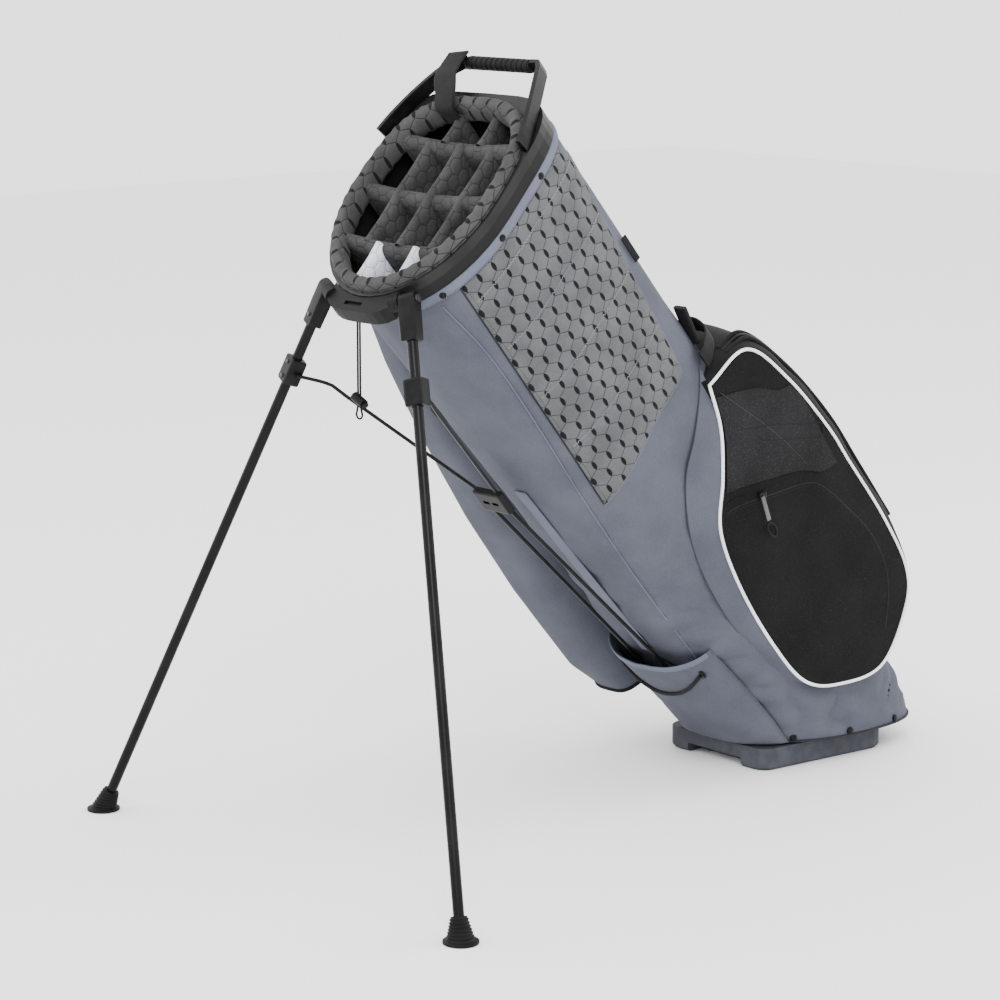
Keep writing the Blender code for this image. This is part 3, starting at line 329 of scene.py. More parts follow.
def colour_mix(tree, factor, low, high):
    node = tree.nodes.new("ShaderNodeMix")
    node.data_type = "RGBA"
    tree.links.new(factor, node.inputs["Factor"])
    for socket, value in ((node.inputs["A"], low), (node.inputs["B"], high)):
        if isinstance(value, tuple):
            socket.default_value = (*value, 1.0)
        else:
            tree.links.new(value, socket)
    return node.outputs["Result"]


def add_bump(tree, shader, height, strength, distance):
    bump = tree.nodes.new("ShaderNodeBump")
    bump.inputs["Strength"].default_value = strength
    bump.inputs["Distance"].default_value = distance
    tree.links.new(height, bump.inputs["Height"])
    tree.links.new(bump.outputs["Normal"], shader.inputs["Normal"])


def cloth(name, dark, light, roughness=0.85, sheen=0.25, thread=2600.0, drift=14.0, heather=0.0):
    """A woven cloth between two colours; heather adds flecks."""
    material, tree, shader = new_material(name, roughness)
    place = tree.nodes.new("ShaderNodeTexCoord")
    tone = tree.nodes.new("ShaderNodeGroup")
    tone.node_tree = CLOTH
    tone.inputs["Thread"].default_value = thread
    tone.inputs["Drift"].default_value = drift
    tree.links.new(place.outputs["Object"], tone.inputs["Vector"])
    s = Sums(tree)
    shade = s.step(tone.outputs["Shade"], 0.3, 0.7)
    colour = colour_mix(tree, shade, dark, light)
    if heather:
        fleck = s.step(s.noise(place.outputs["Object"], 700.0, 1.0), 0.58, 0.72)
        fleck = s.math("MULTIPLY", fleck, heather)
        colour = colour_mix(tree, fleck, colour, (0.20, 0.20, 0.21))
    tree.links.new(colour, shader.inputs["Base Color"])
    shader.inputs["Sheen Weight"].default_value = sheen
    shader.inputs["Specular IOR Level"].default_value = 0.12
    shader.inputs["Sheen Roughness"].default_value = 0.5
    add_bump(tree, shader, tone.outputs["Height"], 0.25, 0.0004)
    return material


def hex_cloth(name, ground, light, line, width, row, line_share, dash_share, roughness=0.8):
    """Quilted cloth printed with hexagon lines, laid out by the piece's own UV in metres."""
    material, tree, shader = new_material(name, roughness)
    place = tree.nodes.new("ShaderNodeTexCoord")
    tone = tree.nodes.new("ShaderNodeGroup")
    tone.node_tree = CLOTH
    tone.inputs["Thread"].default_value = 2200.0
    tone.inputs["Drift"].default_value = 30.0
    tree.links.new(place.outputs["Object"], tone.inputs["Vector"])
    mesh = tree.nodes.new("ShaderNodeGroup")
    mesh.node_tree = HEX
    for label, value in (("Width", width), ("Row", row), ("Line", line_share), ("Dash", dash_share)):
        mesh.inputs[label].default_value = value
    tree.links.new(place.outputs["UV"], mesh.inputs["Vector"])
    s = Sums(tree)
    colour = colour_mix(tree, s.step(tone.outputs["Shade"], 0.3, 0.7), ground, light)
    mask = s.math("MULTIPLY", mesh.outputs["Line"], 0.8)
    if dash_share:
        mask = s.math("MAXIMUM", mask, mesh.outputs["Dash"])
    colour = colour_mix(tree, mask, colour, line)
    tree.links.new(colour, shader.inputs["Base Color"])
    puff = s.math("MINIMUM", mesh.outputs["Edge"], 0.22)
    height = s.math("ADD", s.math("MULTIPLY", puff, 4.0),
                    s.math("MULTIPLY", tone.outputs["Height"], 0.06))
    shader.inputs["Sheen Weight"].default_value = 0.03
    shader.inputs["Specular IOR Level"].default_value = 0.12
    add_bump(tree, shader, height, 0.6, 0.0012)
    return material


def moulded(name, dark, light, roughness, grain=0.3, metallic=0.0, scale=60.0):
    """Moulded plastic, rubber or coated metal with handling wear and fine grain."""
    material, tree, shader = new_material(name, roughness, metallic)
    place = tree.nodes.new("ShaderNodeTexCoord")
    s = Sums(tree)
    wear = s.noise(place.outputs["Object"], scale, 4.0)
    tree.links.new(colour_mix(tree, s.step(wear, 0.3, 0.75), dark, light), shader.inputs["Base Color"])
    shader.inputs["Specular IOR Level"].default_value = 0.12
    rough = s.math("ADD", s.math("MULTIPLY", wear, 0.18), roughness - 0.09)
    tree.links.new(rough, shader.inputs["Roughness"])
    add_bump(tree, shader, s.noise(place.outputs["Object"], 900.0, 2.0), grain, 0.0003)
    return material


def make_collar_material():
    """Collar band: charcoal above, black below, split at a line parallel to the raked top."""
    material, tree, shader = new_material("collar_band", 0.42)
    place = tree.nodes.new("ShaderNodeTexCoord")
    split = tree.nodes.new("ShaderNodeSeparateXYZ")
    tree.links.new(place.outputs["Object"], split.inputs[0])
    s = Sums(tree)
    up = world([(0, 0, 0), (0, -math.sin(RAKE), math.cos(RAKE))])
    normal = up[1] - up[0]
    level = world([(0, COLLAR_FRONT, COLLAR_TOP - 0.0120)])[0] @ normal
    run = s.math("ADD", s.math("MULTIPLY", split.outputs[1], float(normal[1])),
                 s.math("MULTIPLY", split.outputs[2], float(normal[2])))
    band = s.step(run, float(level) - 0.0006, float(level) + 0.0006)
    shader.inputs["Specular IOR Level"].default_value = 0.20
    wear = s.noise(place.outputs["Object"], 25.0, 4.0)
    top = colour_mix(tree, s.step(wear, 0.3, 0.7), (0.0060, 0.0060, 0.0058), (0.0120, 0.0120, 0.0114))
    tree.links.new(colour_mix(tree, band, (0.0016, 0.0016, 0.0016), top), shader.inputs["Base Color"])
    add_bump(tree, shader, s.noise(place.outputs["Object"], 900.0, 2.0), 0.2, 0.0003)
    return material


SLATE = cloth("slate_cloth", (0.058, 0.062, 0.080), (0.080, 0.085, 0.108), 0.8, 0.0)
SLATE_TRIM = cloth("slate_trim", (0.082, 0.088, 0.122), (0.112, 0.120, 0.162), 0.75, 0.02)
SEAM_SLATE = cloth("slate_seam", (0.030, 0.032, 0.040), (0.048, 0.051, 0.064), 0.8, 0.02)
HEATHER = cloth("heather_cloth", (0.0020, 0.0020, 0.0022), (0.0045, 0.0045, 0.0048), 0.85, 0.0,
                heather=0.04)
HEATHER_WORN = cloth("heather_flap", (0.0060, 0.0060, 0.0064), (0.0120, 0.0120, 0.0130), 0.85, 0.0,
                     heather=0.10)
BLACK_CLOTH = cloth("black_cloth", (0.0040, 0.0040, 0.0044), (0.0105, 0.0105, 0.0112), 0.85, 0.02)
WEBBING = cloth("webbing", (0.0040, 0.0040, 0.0044), (0.0120, 0.0120, 0.0126), 0.75, 0.02, thread=1500.0)
HEX_PANEL = hex_cloth("hex_panel_cloth", (0.070, 0.071, 0.074), (0.100, 0.101, 0.104),
                      (0.0025, 0.004, 0.005), 0.0212, 0.0203, 0.035, 0.12)
HEX_LINING = hex_cloth("hex_lining", (0.026, 0.026, 0.027), (0.050, 0.050, 0.051),
                       (0.006, 0.006, 0.007), 0.0170, 0.0160, 0.045, 0.0)
HEX_RIM = hex_cloth("hex_rim", (0.034, 0.034, 0.034), (0.056, 0.056, 0.0555),
                    (0.005, 0.005, 0.006), 0.0240, 0.0200, 0.040, 0.11)
HEX_WHITE = hex_cloth("hex_white", (0.480, 0.490, 0.560), (0.680, 0.690, 0.760),
                      (0.150, 0.150, 0.190), 0.0170, 0.0160, 0.040, 0.0)
INSIDE = cloth("inside_cloth", (0.0040, 0.0040, 0.0044), (0.010, 0.010, 0.011), 0.9, 0.02)
PIPING_WHITE = cloth("white_piping", (0.700, 0.710, 0.720), (0.880, 0.885, 0.890), 0.6, 0.02)
THREAD = cloth("pale_thread", (0.130, 0.135, 0.145), (0.200, 0.205, 0.220), 0.7, 0.0)
DARK_THREAD = cloth("dark_thread", (0.010, 0.010, 0.012), (0.024, 0.024, 0.027), 0.7, 0.02)
ELASTIC = cloth("braided_elastic", (0.004, 0.004, 0.0045), (0.014, 0.014, 0.015), 0.7, 0.02,
                thread=3000.0)
GREY_ELASTIC = cloth("grey_elastic", (0.050, 0.050, 0.052), (0.110, 0.110, 0.115), 0.7, 0.02,
                     thread=3000.0)
PLASTIC = moulded("black_moulding", (0.0020, 0.0020, 0.0022), (0.0060, 0.0060, 0.0065), 0.42)
CHARCOAL = moulded("charcoal_moulding", (0.0030, 0.0030, 0.0030), (0.0075, 0.0075, 0.0073), 0.5)
BASE_GREY = moulded("base_moulding_grey", (0.032, 0.034, 0.042), (0.050, 0.053, 0.064), 0.6)
RUBBER = moulded("moulded_rubber", (0.0022, 0.0022, 0.0022), (0.0060, 0.0060, 0.0060), 0.6, 0.5)
TUBE = moulded("anodised_tube", (0.0030, 0.0030, 0.0034), (0.0070, 0.0070, 0.0076), 0.26, 0.1, 0.15, 20.0)
STEEL = moulded("coated_steel", (0.0035, 0.0035, 0.0038), (0.0090, 0.0090, 0.0096), 0.35, 0.15, 0.2)
PIN_METAL = moulded("screw_metal", (0.040, 0.040, 0.042), (0.100, 0.100, 0.104), 0.35, 0.1, 0.9)
COLLAR_BAND = make_collar_material()


# ---------------------------------------------------------------- mesh helpers
def put(name, mesh, material, body, smooth=40):
    mesh.materials.append(material)
    mesh.shade_smooth()
    mesh.set_sharp_from_angle(angle=math.radians(smooth))
    item = bpy.data.objects.new(name, mesh)
    bpy.context.scene.collection.objects.link(item)
    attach(item, body)
    return item


def grid(name, points, material, body, wrap=False, caps=False, smooth=60, uv=None, origin=(0, 0)):
    """A skin over rows of world points, with its UV laid out in metres."""
    points = np.asarray(points, float)
    rows, columns = points.shape[:2]
    across = np.concatenate([np.zeros((rows, 1)),
                             np.cumsum(np.linalg.norm(np.diff(points, axis=1), axis=2), axis=1)], axis=1)
    along = np.concatenate([np.zeros((1, columns)),
                            np.cumsum(np.linalg.norm(np.diff(points, axis=0), axis=2), axis=0)], axis=0)
    flat = np.stack([across + origin[0], along + origin[1]], axis=2) if uv is None else np.asarray(uv)
    faces = []
    corners = []
    last = columns if wrap else columns - 1
    step = np.linalg.norm(points[:, -1] - points[:, 0], axis=1)
    for i in range(rows - 1):
        for j in range(last):
            k = (j + 1) % columns
            faces.append((i * columns + j, i * columns + k, (i + 1) * columns + k, (i + 1) * columns + j))
            a, b, c, d = flat[i, j], flat[i, k], flat[i + 1, k], flat[i + 1, j]
            if wrap and k == 0:
                b = flat[i, j] + np.array([step[i], 0.0])
                c = flat[i + 1, j] + np.array([step[i + 1], 0.0])
            corners += [a, b, c, d]
    if caps and wrap:
        for i in (0, rows - 1):
            faces.append(tuple(i * columns + j for j in range(columns)))
            corners += [flat[i, j] for j in range(columns)]
    mesh = bpy.data.meshes.new(name)
    mesh.from_pydata([tuple(p) for p in points.reshape(-1, 3)], [], faces)
    layer = mesh.uv_layers.new(name="UVMap")
    layer.data.foreach_set("uv", np.array(corners, float).reshape(-1))
    shape = bmesh.new()
    shape.from_mesh(mesh)
    bmesh.ops.recalc_face_normals(shape, faces=shape.faces)
    shape.to_mesh(mesh)
    shape.free()
    return put(name, mesh, material, body, smooth)


def thicken(item, amount):
    solid = item.modifiers.new("thickness", "SOLIDIFY")
    solid.thickness = amount
    solid.offset = 0.0
    return item


def tube(name, path, radius, material, body, closed=False, sides=3):
    """A round cord, tube or piping along world points."""
    curve = bpy.data.curves.new(name, "CURVE")
    curve.dimensions = "3D"
    curve.bevel_depth = radius
    curve.bevel_resolution = sides
    curve.use_fill_caps = True
    curve.materials.append(material)
    line = curve.splines.new("POLY")
    line.points.add(len(path) - 1)
    line.points.foreach_set("co", np.concatenate([np.asarray(path), np.ones((len(path), 1))],
                            axis=1).reshape(-1))
    line.use_cyclic_u = closed
    item = bpy.data.objects.new(name, curve)
    bpy.context.scene.collection.objects.link(item)
    if body:
        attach(item, body)
    return item


def strap(name, path, wide, width, thick, material, body):
    """A flat rounded band along world points; wide is its width direction at each point."""
    path = np.asarray(path)
    wide = np.asarray(wide, float)
    if wide.ndim == 1:
        wide = np.repeat(wide[None], len(path), axis=0)
    ahead = np.gradient(path, axis=0)
    ahead /= np.linalg.norm(ahead, axis=1)[:, None]
    wide = wide - ahead * np.sum(wide * ahead, axis=1)[:, None]
    wide /= np.linalg.norm(wide, axis=1)[:, None]
    deep = np.cross(ahead, wide)
    section = []
    for k in range(20):
        t = math.tau * k / 20
        c, s = math.cos(t), math.sin(t)
        section.append((math.copysign(abs(c) ** 0.25, c) * width / 2,
                        math.copysign(abs(s) ** 0.6, s) * thick / 2))
    rows = [[p + w * a + d * b for a, b in section] for p, w, d in zip(path, wide, deep)]
    return grid(name, rows, material, body, wrap=True, caps=True, smooth=50)


def dashes(name, path, out, length, gap, width, material, body, lift=0.0004, zigzag=0.0):
    """A row of stitches lying on the surface along world points; out is the surface normal there."""
    path = np.asarray(path)
    out = np.asarray(out, float)
    if out.ndim == 1:
        out = np.repeat(out[None], len(path), axis=0)
    run = np.concatenate([[0], np.cumsum(np.linalg.norm(np.diff(path, axis=0), axis=1))])
    shape = bmesh.new()
    place = 0.0
    flip = 1.0
    while place + length < run[-1]:
        ends = []
        for at in (place, place + length):
            ends.append((np.array([np.interp(at, run, path[:, k]) for k in range(3)]),
                         np.array([np.interp(at, run, out[:, k]) for k in range(3)])))
        way = ends[1][0] - ends[0][0]
        up = ends[0][1] / np.linalg.norm(ends[0][1])
        side = np.cross(way, up)
        side /= max(np.linalg.norm(side), 1e-9)
        start = ends[0][0] - side * zigzag * flip
        stop = ends[1][0] + side * zigzag * flip
        across = np.cross(stop - start, up)
        across *= width / 2 / max(np.linalg.norm(across), 1e-9)
        middle = (start + stop) / 2 + up * (lift + width * 0.35)
        ring = [start + up * lift, start * 0.8 + stop * 0.2 + across + up * lift,
                stop * 0.8 + start * 0.2 + across + up * lift, stop + up * lift,
                stop * 0.8 + start * 0.2 - across + up * lift, start * 0.8 + stop * 0.2 - across + up * lift]
        verts = [shape.verts.new(p) for p in ring]
        peak = shape.verts.new(middle)
        for k in range(6):
            shape.faces.new((verts[k], verts[(k + 1) % 6], peak))
        place += length + gap
        flip = -flip
    mesh = bpy.data.meshes.new(name)
    shape.to_mesh(mesh)
    shape.free()
    return put(name, mesh, material, body)


def turned(name, profile, place, axis, material, body, sides=28, smooth=35, spin=None):
    """A turned piece: profile of (height, radius) about an axis at a world place."""
    axis = Vector(axis).normalized()
    across = axis.orthogonal().normalized()
    other = axis.cross(across)
    rings = []
    for height, radius in profile:
        rings.append([Vector(place) + axis * height + radius * (math.cos(math.tau * k / sides) * across
                      + math.sin(math.tau * k / sides) * other) for k in range(sides)])
    return grid(name, rings, material, body, wrap=True, caps=True, smooth=smooth)


def rivet(name, place, out, radius, body, material=None):
    profile = [(-0.001, radius), (0.0006, radius), (0.0012, radius * 0.9), (0.0016, radius * 0.6),
               (0.0018, radius * 0.15)]
    return turned(name, profile, place, out, material or PLASTIC, body, 20)


def surface_normals(points):
    """Unit normals of a grid of points."""
    du = np.gradient(points, axis=0)
    dv = np.gradient(points, axis=1)
    normal = np.cross(du, dv)
    return normal / np.maximum(np.linalg.norm(normal, axis=2)[..., None], 1e-9)


# ---------------------------------------------------------------- fabric body
TURNS = 216


def body_skin(turn, z, share):
    """Body skin with the soft folds of cloth pulled over a foam core."""
    x, y = body_xy(turn, z)
    quiet = min(share / 0.06, 1.0) * min((1.0 - share) / 0.02, 1.0)
    long_fold = fold(x, y, 0.35 * z, 0.055, 3.1) * 0.0026
    lower = max(0.06, min((0.50 - z) / 0.42, 1.0))
    crumple = (abs(fold(x + 0.6 * z, y, z, 0.045, 7.7)) - 0.25) * 0.0130 * lower
    crumple += fold(x, y - z, z, 0.100, 1.3) * 0.0085 * lower
    pull = math.sin(34.0 * (z + 1.3 * y) + 3.0 * fold(x, y, z, 0.2, 5.5))
    crumple += 0.0022 * pull * max(0.0, 1.0 - abs(z - 0.24) / 0.28)
    under_panel = max(0.0, min((z - 0.44) / 0.06, 1.0)) if x > 0.0 else 0.0
    out = (long_fold + crumple) * quiet
    under_pocket = max(0.0, min((y - 0.14) / 0.04, (0.54 - z) / 0.04, (z + 0.06) / 0.04, 1.0))
    out -= max(out, 0.0) * max(under_panel, under_pocket)
    return body_xy(turn, z, out)


def make_body():
    rows = []
    inner = []
    count = 170
    for i in range(count + 1):
        share = i / count
        row = []
        lining = []
        for k in range(TURNS):
            turn = math.tau * k / TURNS
            top, low = ENDS[k]
            z = top + (low - top) * share
            row.append((*body_skin(turn, z, share), z))
            lining.append((*body_xy(turn, z, -0.006), z))
        rows.append(world(row))
        inner.append(world(lining))
    skin = grid("body_fabric", rows, SLATE, "bag", wrap=True, smooth=180)
    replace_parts(skin, "body_shell")
    grid("body_lining", inner[::6], INSIDE, "bag", wrap=True, smooth=180)


ENDS = [body_ends(math.tau * k / TURNS) for k in range(TURNS)]


def make_hem_strip():
    """Trim tape round the body's top edge, with its stitching and snap rivets."""
    rows = []
    for drop, out in ((0.0, 0.0002), (0.0005, 0.0024), (0.0040, 0.0032), (0.0085, 0.0030),
                      (0.0122, 0.0022), (0.0128, 0.0002)):
        row = []
        for k in range(TURNS):
            z = ENDS[k][0] - drop
            row.append((*body_xy(math.tau * k / TURNS, z, out), z))
        rows.append(world(row))
    grid("top_trim", rows, SLATE_TRIM, "bag", wrap=True, smooth=80)
    line = [(*body_xy(math.tau * k / TURNS, ENDS[k][0] - 0.0108, 0.0030), ENDS[k][0] - 0.0108)
            for k in range(TURNS)]
    out = np.array([(math.cos(math.tau * k / TURNS), math.sin(math.tau * k / TURNS),
                     0.0) for k in range(TURNS)])
    dashes("top_trim_stitches", world(line), out @ BAG_TURN.T, 0.0022, 0.0012, 0.0006, DARK_THREAD, "bag")
    for number, y in enumerate((0.012, 0.096, 0.183), 1):
        for side in (1, -1):
            z = collar_top(y) - COLLAR_HEIGHT - 0.0064
            x = body_at_y(y, z, 0.0030)[0] * side
            side_way = np.array(body_at_y(y + 0.004, z)) - np.array(body_at_y(y - 0.004, z))
            out = np.array([side_way[1] * side, -side_way[0], 0.0])
            rivet("trim_rivet_%d_%s" % (number, "r" if side > 0 else "l"), world([(x, y, z)])[0],
                  out @ BAG_TURN.T, 0.0042, "bag")


def arc_of_depth(z=0.65):
    ys = np.linspace(0.0, 0.262, 200)
    points = np.array([body_at_y(y, z) for y in ys])
    run = np.concatenate([[0], np.cumsum(np.linalg.norm(np.diff(points, axis=0), axis=1))])
    return ys, run


def make_hex_panel():
    """Quilted hexagon panel on the right side, with bound edges and zigzag rows."""
    ys, run = arc_of_depth()
    rows, uvs = [], []
    tall, wide = 190, 130
    for i in range(tall + 1):
        s = i / tall
        rough_z = 0.50 + 0.36 * s
        right = float(np.interp(rough_z, PANEL_LEVELS, PANEL_REACH))
        row, uv = [], []
        for j in range(wide + 1):
            t = j / wide
            y = 0.030 + (right - 0.030) * t
            low = 0.478 + 0.053 * t + 0.012 * math.sin(math.pi * t)
            high = collar_top(y) - COLLAR_HEIGHT - 0.0124 - 0.030 * max(0.0, (t - 0.86) / 0.14) ** 2
            z = low + (high - low) * s
            edge = min(t, 1 - t, s, 1 - s)
            u = float(np.interp(y, ys, run))
            px, pz = u / HEX_WIDE, (z + HEX_LIFT) / HEX_ROW
            best = 9.0
            for row_number in (math.floor(pz), math.floor(pz) + 1):
                shift = 0.5 * (row_number % 2)
                cx = round(px - shift) + shift
                best = min(best, math.hypot(px - cx, 0.9 * (pz - row_number)))
            puff = 0.0011 * max(0.0, 1.0 - (best / 0.52) ** 2)
            out = 0.0012 + puff * min(edge / 0.02, 1.0)
            if edge <= 0.0:
                out = -0.0004
            row.append(body_at_y(y, z, out))
            uv.append((u, z + HEX_LIFT))
        rows.append(world(row))
        uvs.append(uv)
    grid("hex_panel", rows, HEX_PANEL, "bag", smooth=180, uv=uvs)
    rows = np.array(rows)
    normals = surface_normals(rows)
    if normals[tall // 2, wide // 2][0] < 0:
        normals = -normals
    dashes("panel_edge_stitches", rows[2:-2, 2], normals[2:-2, 2], 0.0020, 0.0012, 0.0006, DARK_THREAD,
           "bag")
    tube("panel_front_binding", rows[1:-1, 0] + normals[1:-1, 0] * 0.0004, 0.0011, DARK_THREAD, "bag",
         sides=2)
    tube("panel_low_binding", rows[0, 1:-1] + normals[0, 1:-1] * 0.0004, 0.0011, SLATE_TRIM, "bag",
         sides=2)
    tube("panel_rear_binding", rows[1:-1, -1] + normals[1:-1, -1] * 0.0004, 0.0011, SLATE_TRIM, "bag",
         sides=2)
    for number, level in enumerate((0.836, 0.761, 0.678, 0.596), 1):
        path, out = [], []
        for y in np.linspace(0.034, 0.236, 90):
            z = level + 0.165 * (y - 0.12) - 0.35 * (y - 0.12) ** 2
            limit = float(np.interp(z, PANEL_LEVELS, PANEL_REACH))
            if y > limit - 0.004:
                break
            here = np.array(body_at_y(y, z, 0.0024))
            ahead = np.array(body_at_y(y + 0.002, z, 0.0024)) - here
            path.append(here)
            out.append((ahead[1], -ahead[0], 0.0))
        dashes("panel_zigzag_%d" % number, world(path), np.array(out) @ BAG_TURN.T, 0.0017, 0.0006,
               0.0009, THREAD, "bag", zigzag=0.0016)


def body_seam(name, route, material, count=90, radius=0.0009, out=0.0006):
    """A raised seam lying on the body's right side; route is a list of (y, z)."""
    path = []
    for y, z in spline(route, count):
        path.append(body_at_y(y, z, out))
    tube(name, world(path), radius, material, "bag", sides=2)
    return path


# ---------------------------------------------------------------- top: rim and dividers
def rim_outline(inset):
    step = RIM_STEP + inset
    return COLLAR_HALF - step, COLLAR_FRONT + step, COLLAR_BACK - step - RIM_BACK_SET


def make_rim():
    """Padded rim in quilted cloth, puckered where it is pulled tight."""
    turns, section = 300, 30
    rows, uvs = [], []
    run = 0.0
    last = None
    for k in range(turns + 1):
        turn = math.tau * k / turns
        row, uv = [], []
        here = None
        for j in range(section):
            t = math.tau * j / section
            pucker = 1.0 + 0.035 * math.sin(turn * 46) + 0.03 * fold(math.cos(turn), math.sin(turn), t,
                                    0.16, 2.2)
            across = math.copysign(abs(math.cos(t)) ** 0.75, math.cos(t)) * 0.0088 * pucker
            up = math.copysign(abs(math.sin(t)) ** 0.75, math.sin(t)) * 0.0156 * pucker
            x, y = power_outline(*rim_outline(0.0085 - across), FRONT_ROUND, RIM_ROUND, turn)
            row.append((x, y, collar_top(y) - 0.0050 + up))
            uv.append((0.0, (j - section / 4) * 0.0024))
        x, y = power_outline(*rim_outline(0.0085), FRONT_ROUND, RIM_ROUND, turn)
        here = np.array((x, y))
        run += 0.0 if last is None else float(np.linalg.norm(here - last))
        last = here
        rows.append(world(row))
        uvs.append([(run, v) for _, v in uv])
    pad = grid("rim_padding", rows, HEX_RIM, "bag", wrap=True, smooth=180, uv=uvs)
    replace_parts(pad, "rim_pad")
    seam = []
    for k in range(turns + 1):
        turn = math.tau * k / turns
        x, y = power_outline(*rim_outline(0.0006), FRONT_ROUND, RIM_ROUND, turn)
        seam.append((x, y, collar_top(y) + 0.0022))
    tube("rim_seam", world(seam), 0.0010, DARK_THREAD, "bag", sides=2)


def divider(name, start, stop, thick, drop, depth, material, sag=0.004):
    """A padded divider: rounded top that sags between its ends, running down into the bag."""
    start, stop = np.array(start), np.array(stop)
    way = (stop - start) / np.linalg.norm(stop - start)
    side = np.array((-way[1], way[0]))
    rows = []
    steps = 26
    for i in range(steps + 1):
        share = i / steps
        plan = start + (stop - start) * share
        top = collar_top(plan[1]) - drop - sag * math.sin(math.pi * share)
        row = []
        half = thick / 2 * (1.0 + 0.10 * fold(plan[0], plan[1], 0.0, 0.03, 4.0))
        for down in (depth, depth * 0.6, depth * 0.3, 0.020, 0.012):
            row.append((*(plan - side * half), top - down))
        for k in range(9):
            t = math.pi * k / 8
            row.append((*(plan - side * half * math.cos(t)), top - half * 1.3 * (1 - math.sin(t))))
        for down in (0.012, 0.020, depth * 0.3, depth * 0.6, depth):
            row.append((*(plan + side * half), top - down))
        rows.append(world(row))
    return grid(name, rows, material, "bag", smooth=70)


def make_dividers():
    def reach(y):
        half, front, back = rim_outline(RIM_WIDTH)
        middle = (front + back) / 2
        power = RIM_ROUND if y >= middle else FRONT_ROUND
        share = min(abs(y - middle) / ((back - front) / 2), 1.0)
        return half * (1.0 - share ** power) ** (1.0 / power)
    for label, y in zip(("front", "middle", "rear"), BAR_PLACES):
        divider("bar_pad_" + label, (-reach(y) - 0.004, y), (reach(y) + 0.004, y), 0.0200,
                BAR_DROP - 0.003,
                0.18, HEX_LINING, sag=0.008)
        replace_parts(bpy.data.objects["bar_pad_" + label], "divider_bar_" + label)
    half, front, back = rim_outline(RIM_WIDTH)
    edges = [front, *BAR_PLACES, back]
    for row, places in enumerate(SEPARATORS):
        for number, x in enumerate(places, 1):
            low, high = edges[row], edges[row + 1]
            cloth_here = HEX_WHITE if row == 0 else HEX_LINING
            label = "separator_pad_%d_%d" % (row + 1, number)
            thick = 0.0185 if row == 0 else 0.0135
            divider(label, (x, low), (x, high), thick, SEPARATOR_DROP - 0.004, 0.17, cloth_here,
                    sag=0.0015)
            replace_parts(bpy.data.objects[label], "separator_%d_%d" % (row + 1, number))


# ---------------------------------------------------------------- ball pocket
PIPING_ROUTE = ((0.216, 0.500), (0.196, 0.444), (0.160, 0.394), (0.116, 0.345), (0.095, 0.262),
                (0.089, 0.160),
                (0.098, 0.082), (0.138, 0.030), (0.206, -0.012), (0.282, 0.012), (0.318, 0.053), (0.330,
                                        0.140),
                (0.330, 0.245), (0.330, 0.306), (0.318, 0.405), (0.289, 0.488))
PANEL_MIDDLE = np.array((0.222, 0.215))
PANEL_EDGE = 0.1370


def panel_x(y, z):
    """How far the ball pocket's side panel stands out at depth y and height z."""
    way = np.array((y, z)) - PANEL_MIDDLE
    angle = math.atan2(way[1], way[0])
    reach = float(np.interp(angle, PIPING_ANGLES, PIPING_REACH, period=math.tau))
    share = min(np.linalg.norm(way) / reach, 1.0)
    puff = 0.0044 * (1 - share ** 3.0)
    soft = 0.0008 * fold(y, z, 0.0, 0.060, 5.0) * (1 - share ** 6)
    return PANEL_EDGE + puff + soft


def panel_line(route, count=80, out=0.0006):
    return world([(panel_x(y, z) + out, y, z) for y, z in spline(route, count)])


PIPING = spline(PIPING_ROUTE + PIPING_ROUTE[:1], 240)[:-1]
ANGLES = np.arctan2(PIPING[:, 1] - PANEL_MIDDLE[1], PIPING[:, 0] - PANEL_MIDDLE[0])
ORDER = np.argsort(ANGLES)
PIPING_ANGLES = ANGLES[ORDER]
PIPING_REACH = np.linalg.norm(PIPING - PANEL_MIDDLE, axis=1)[ORDER]


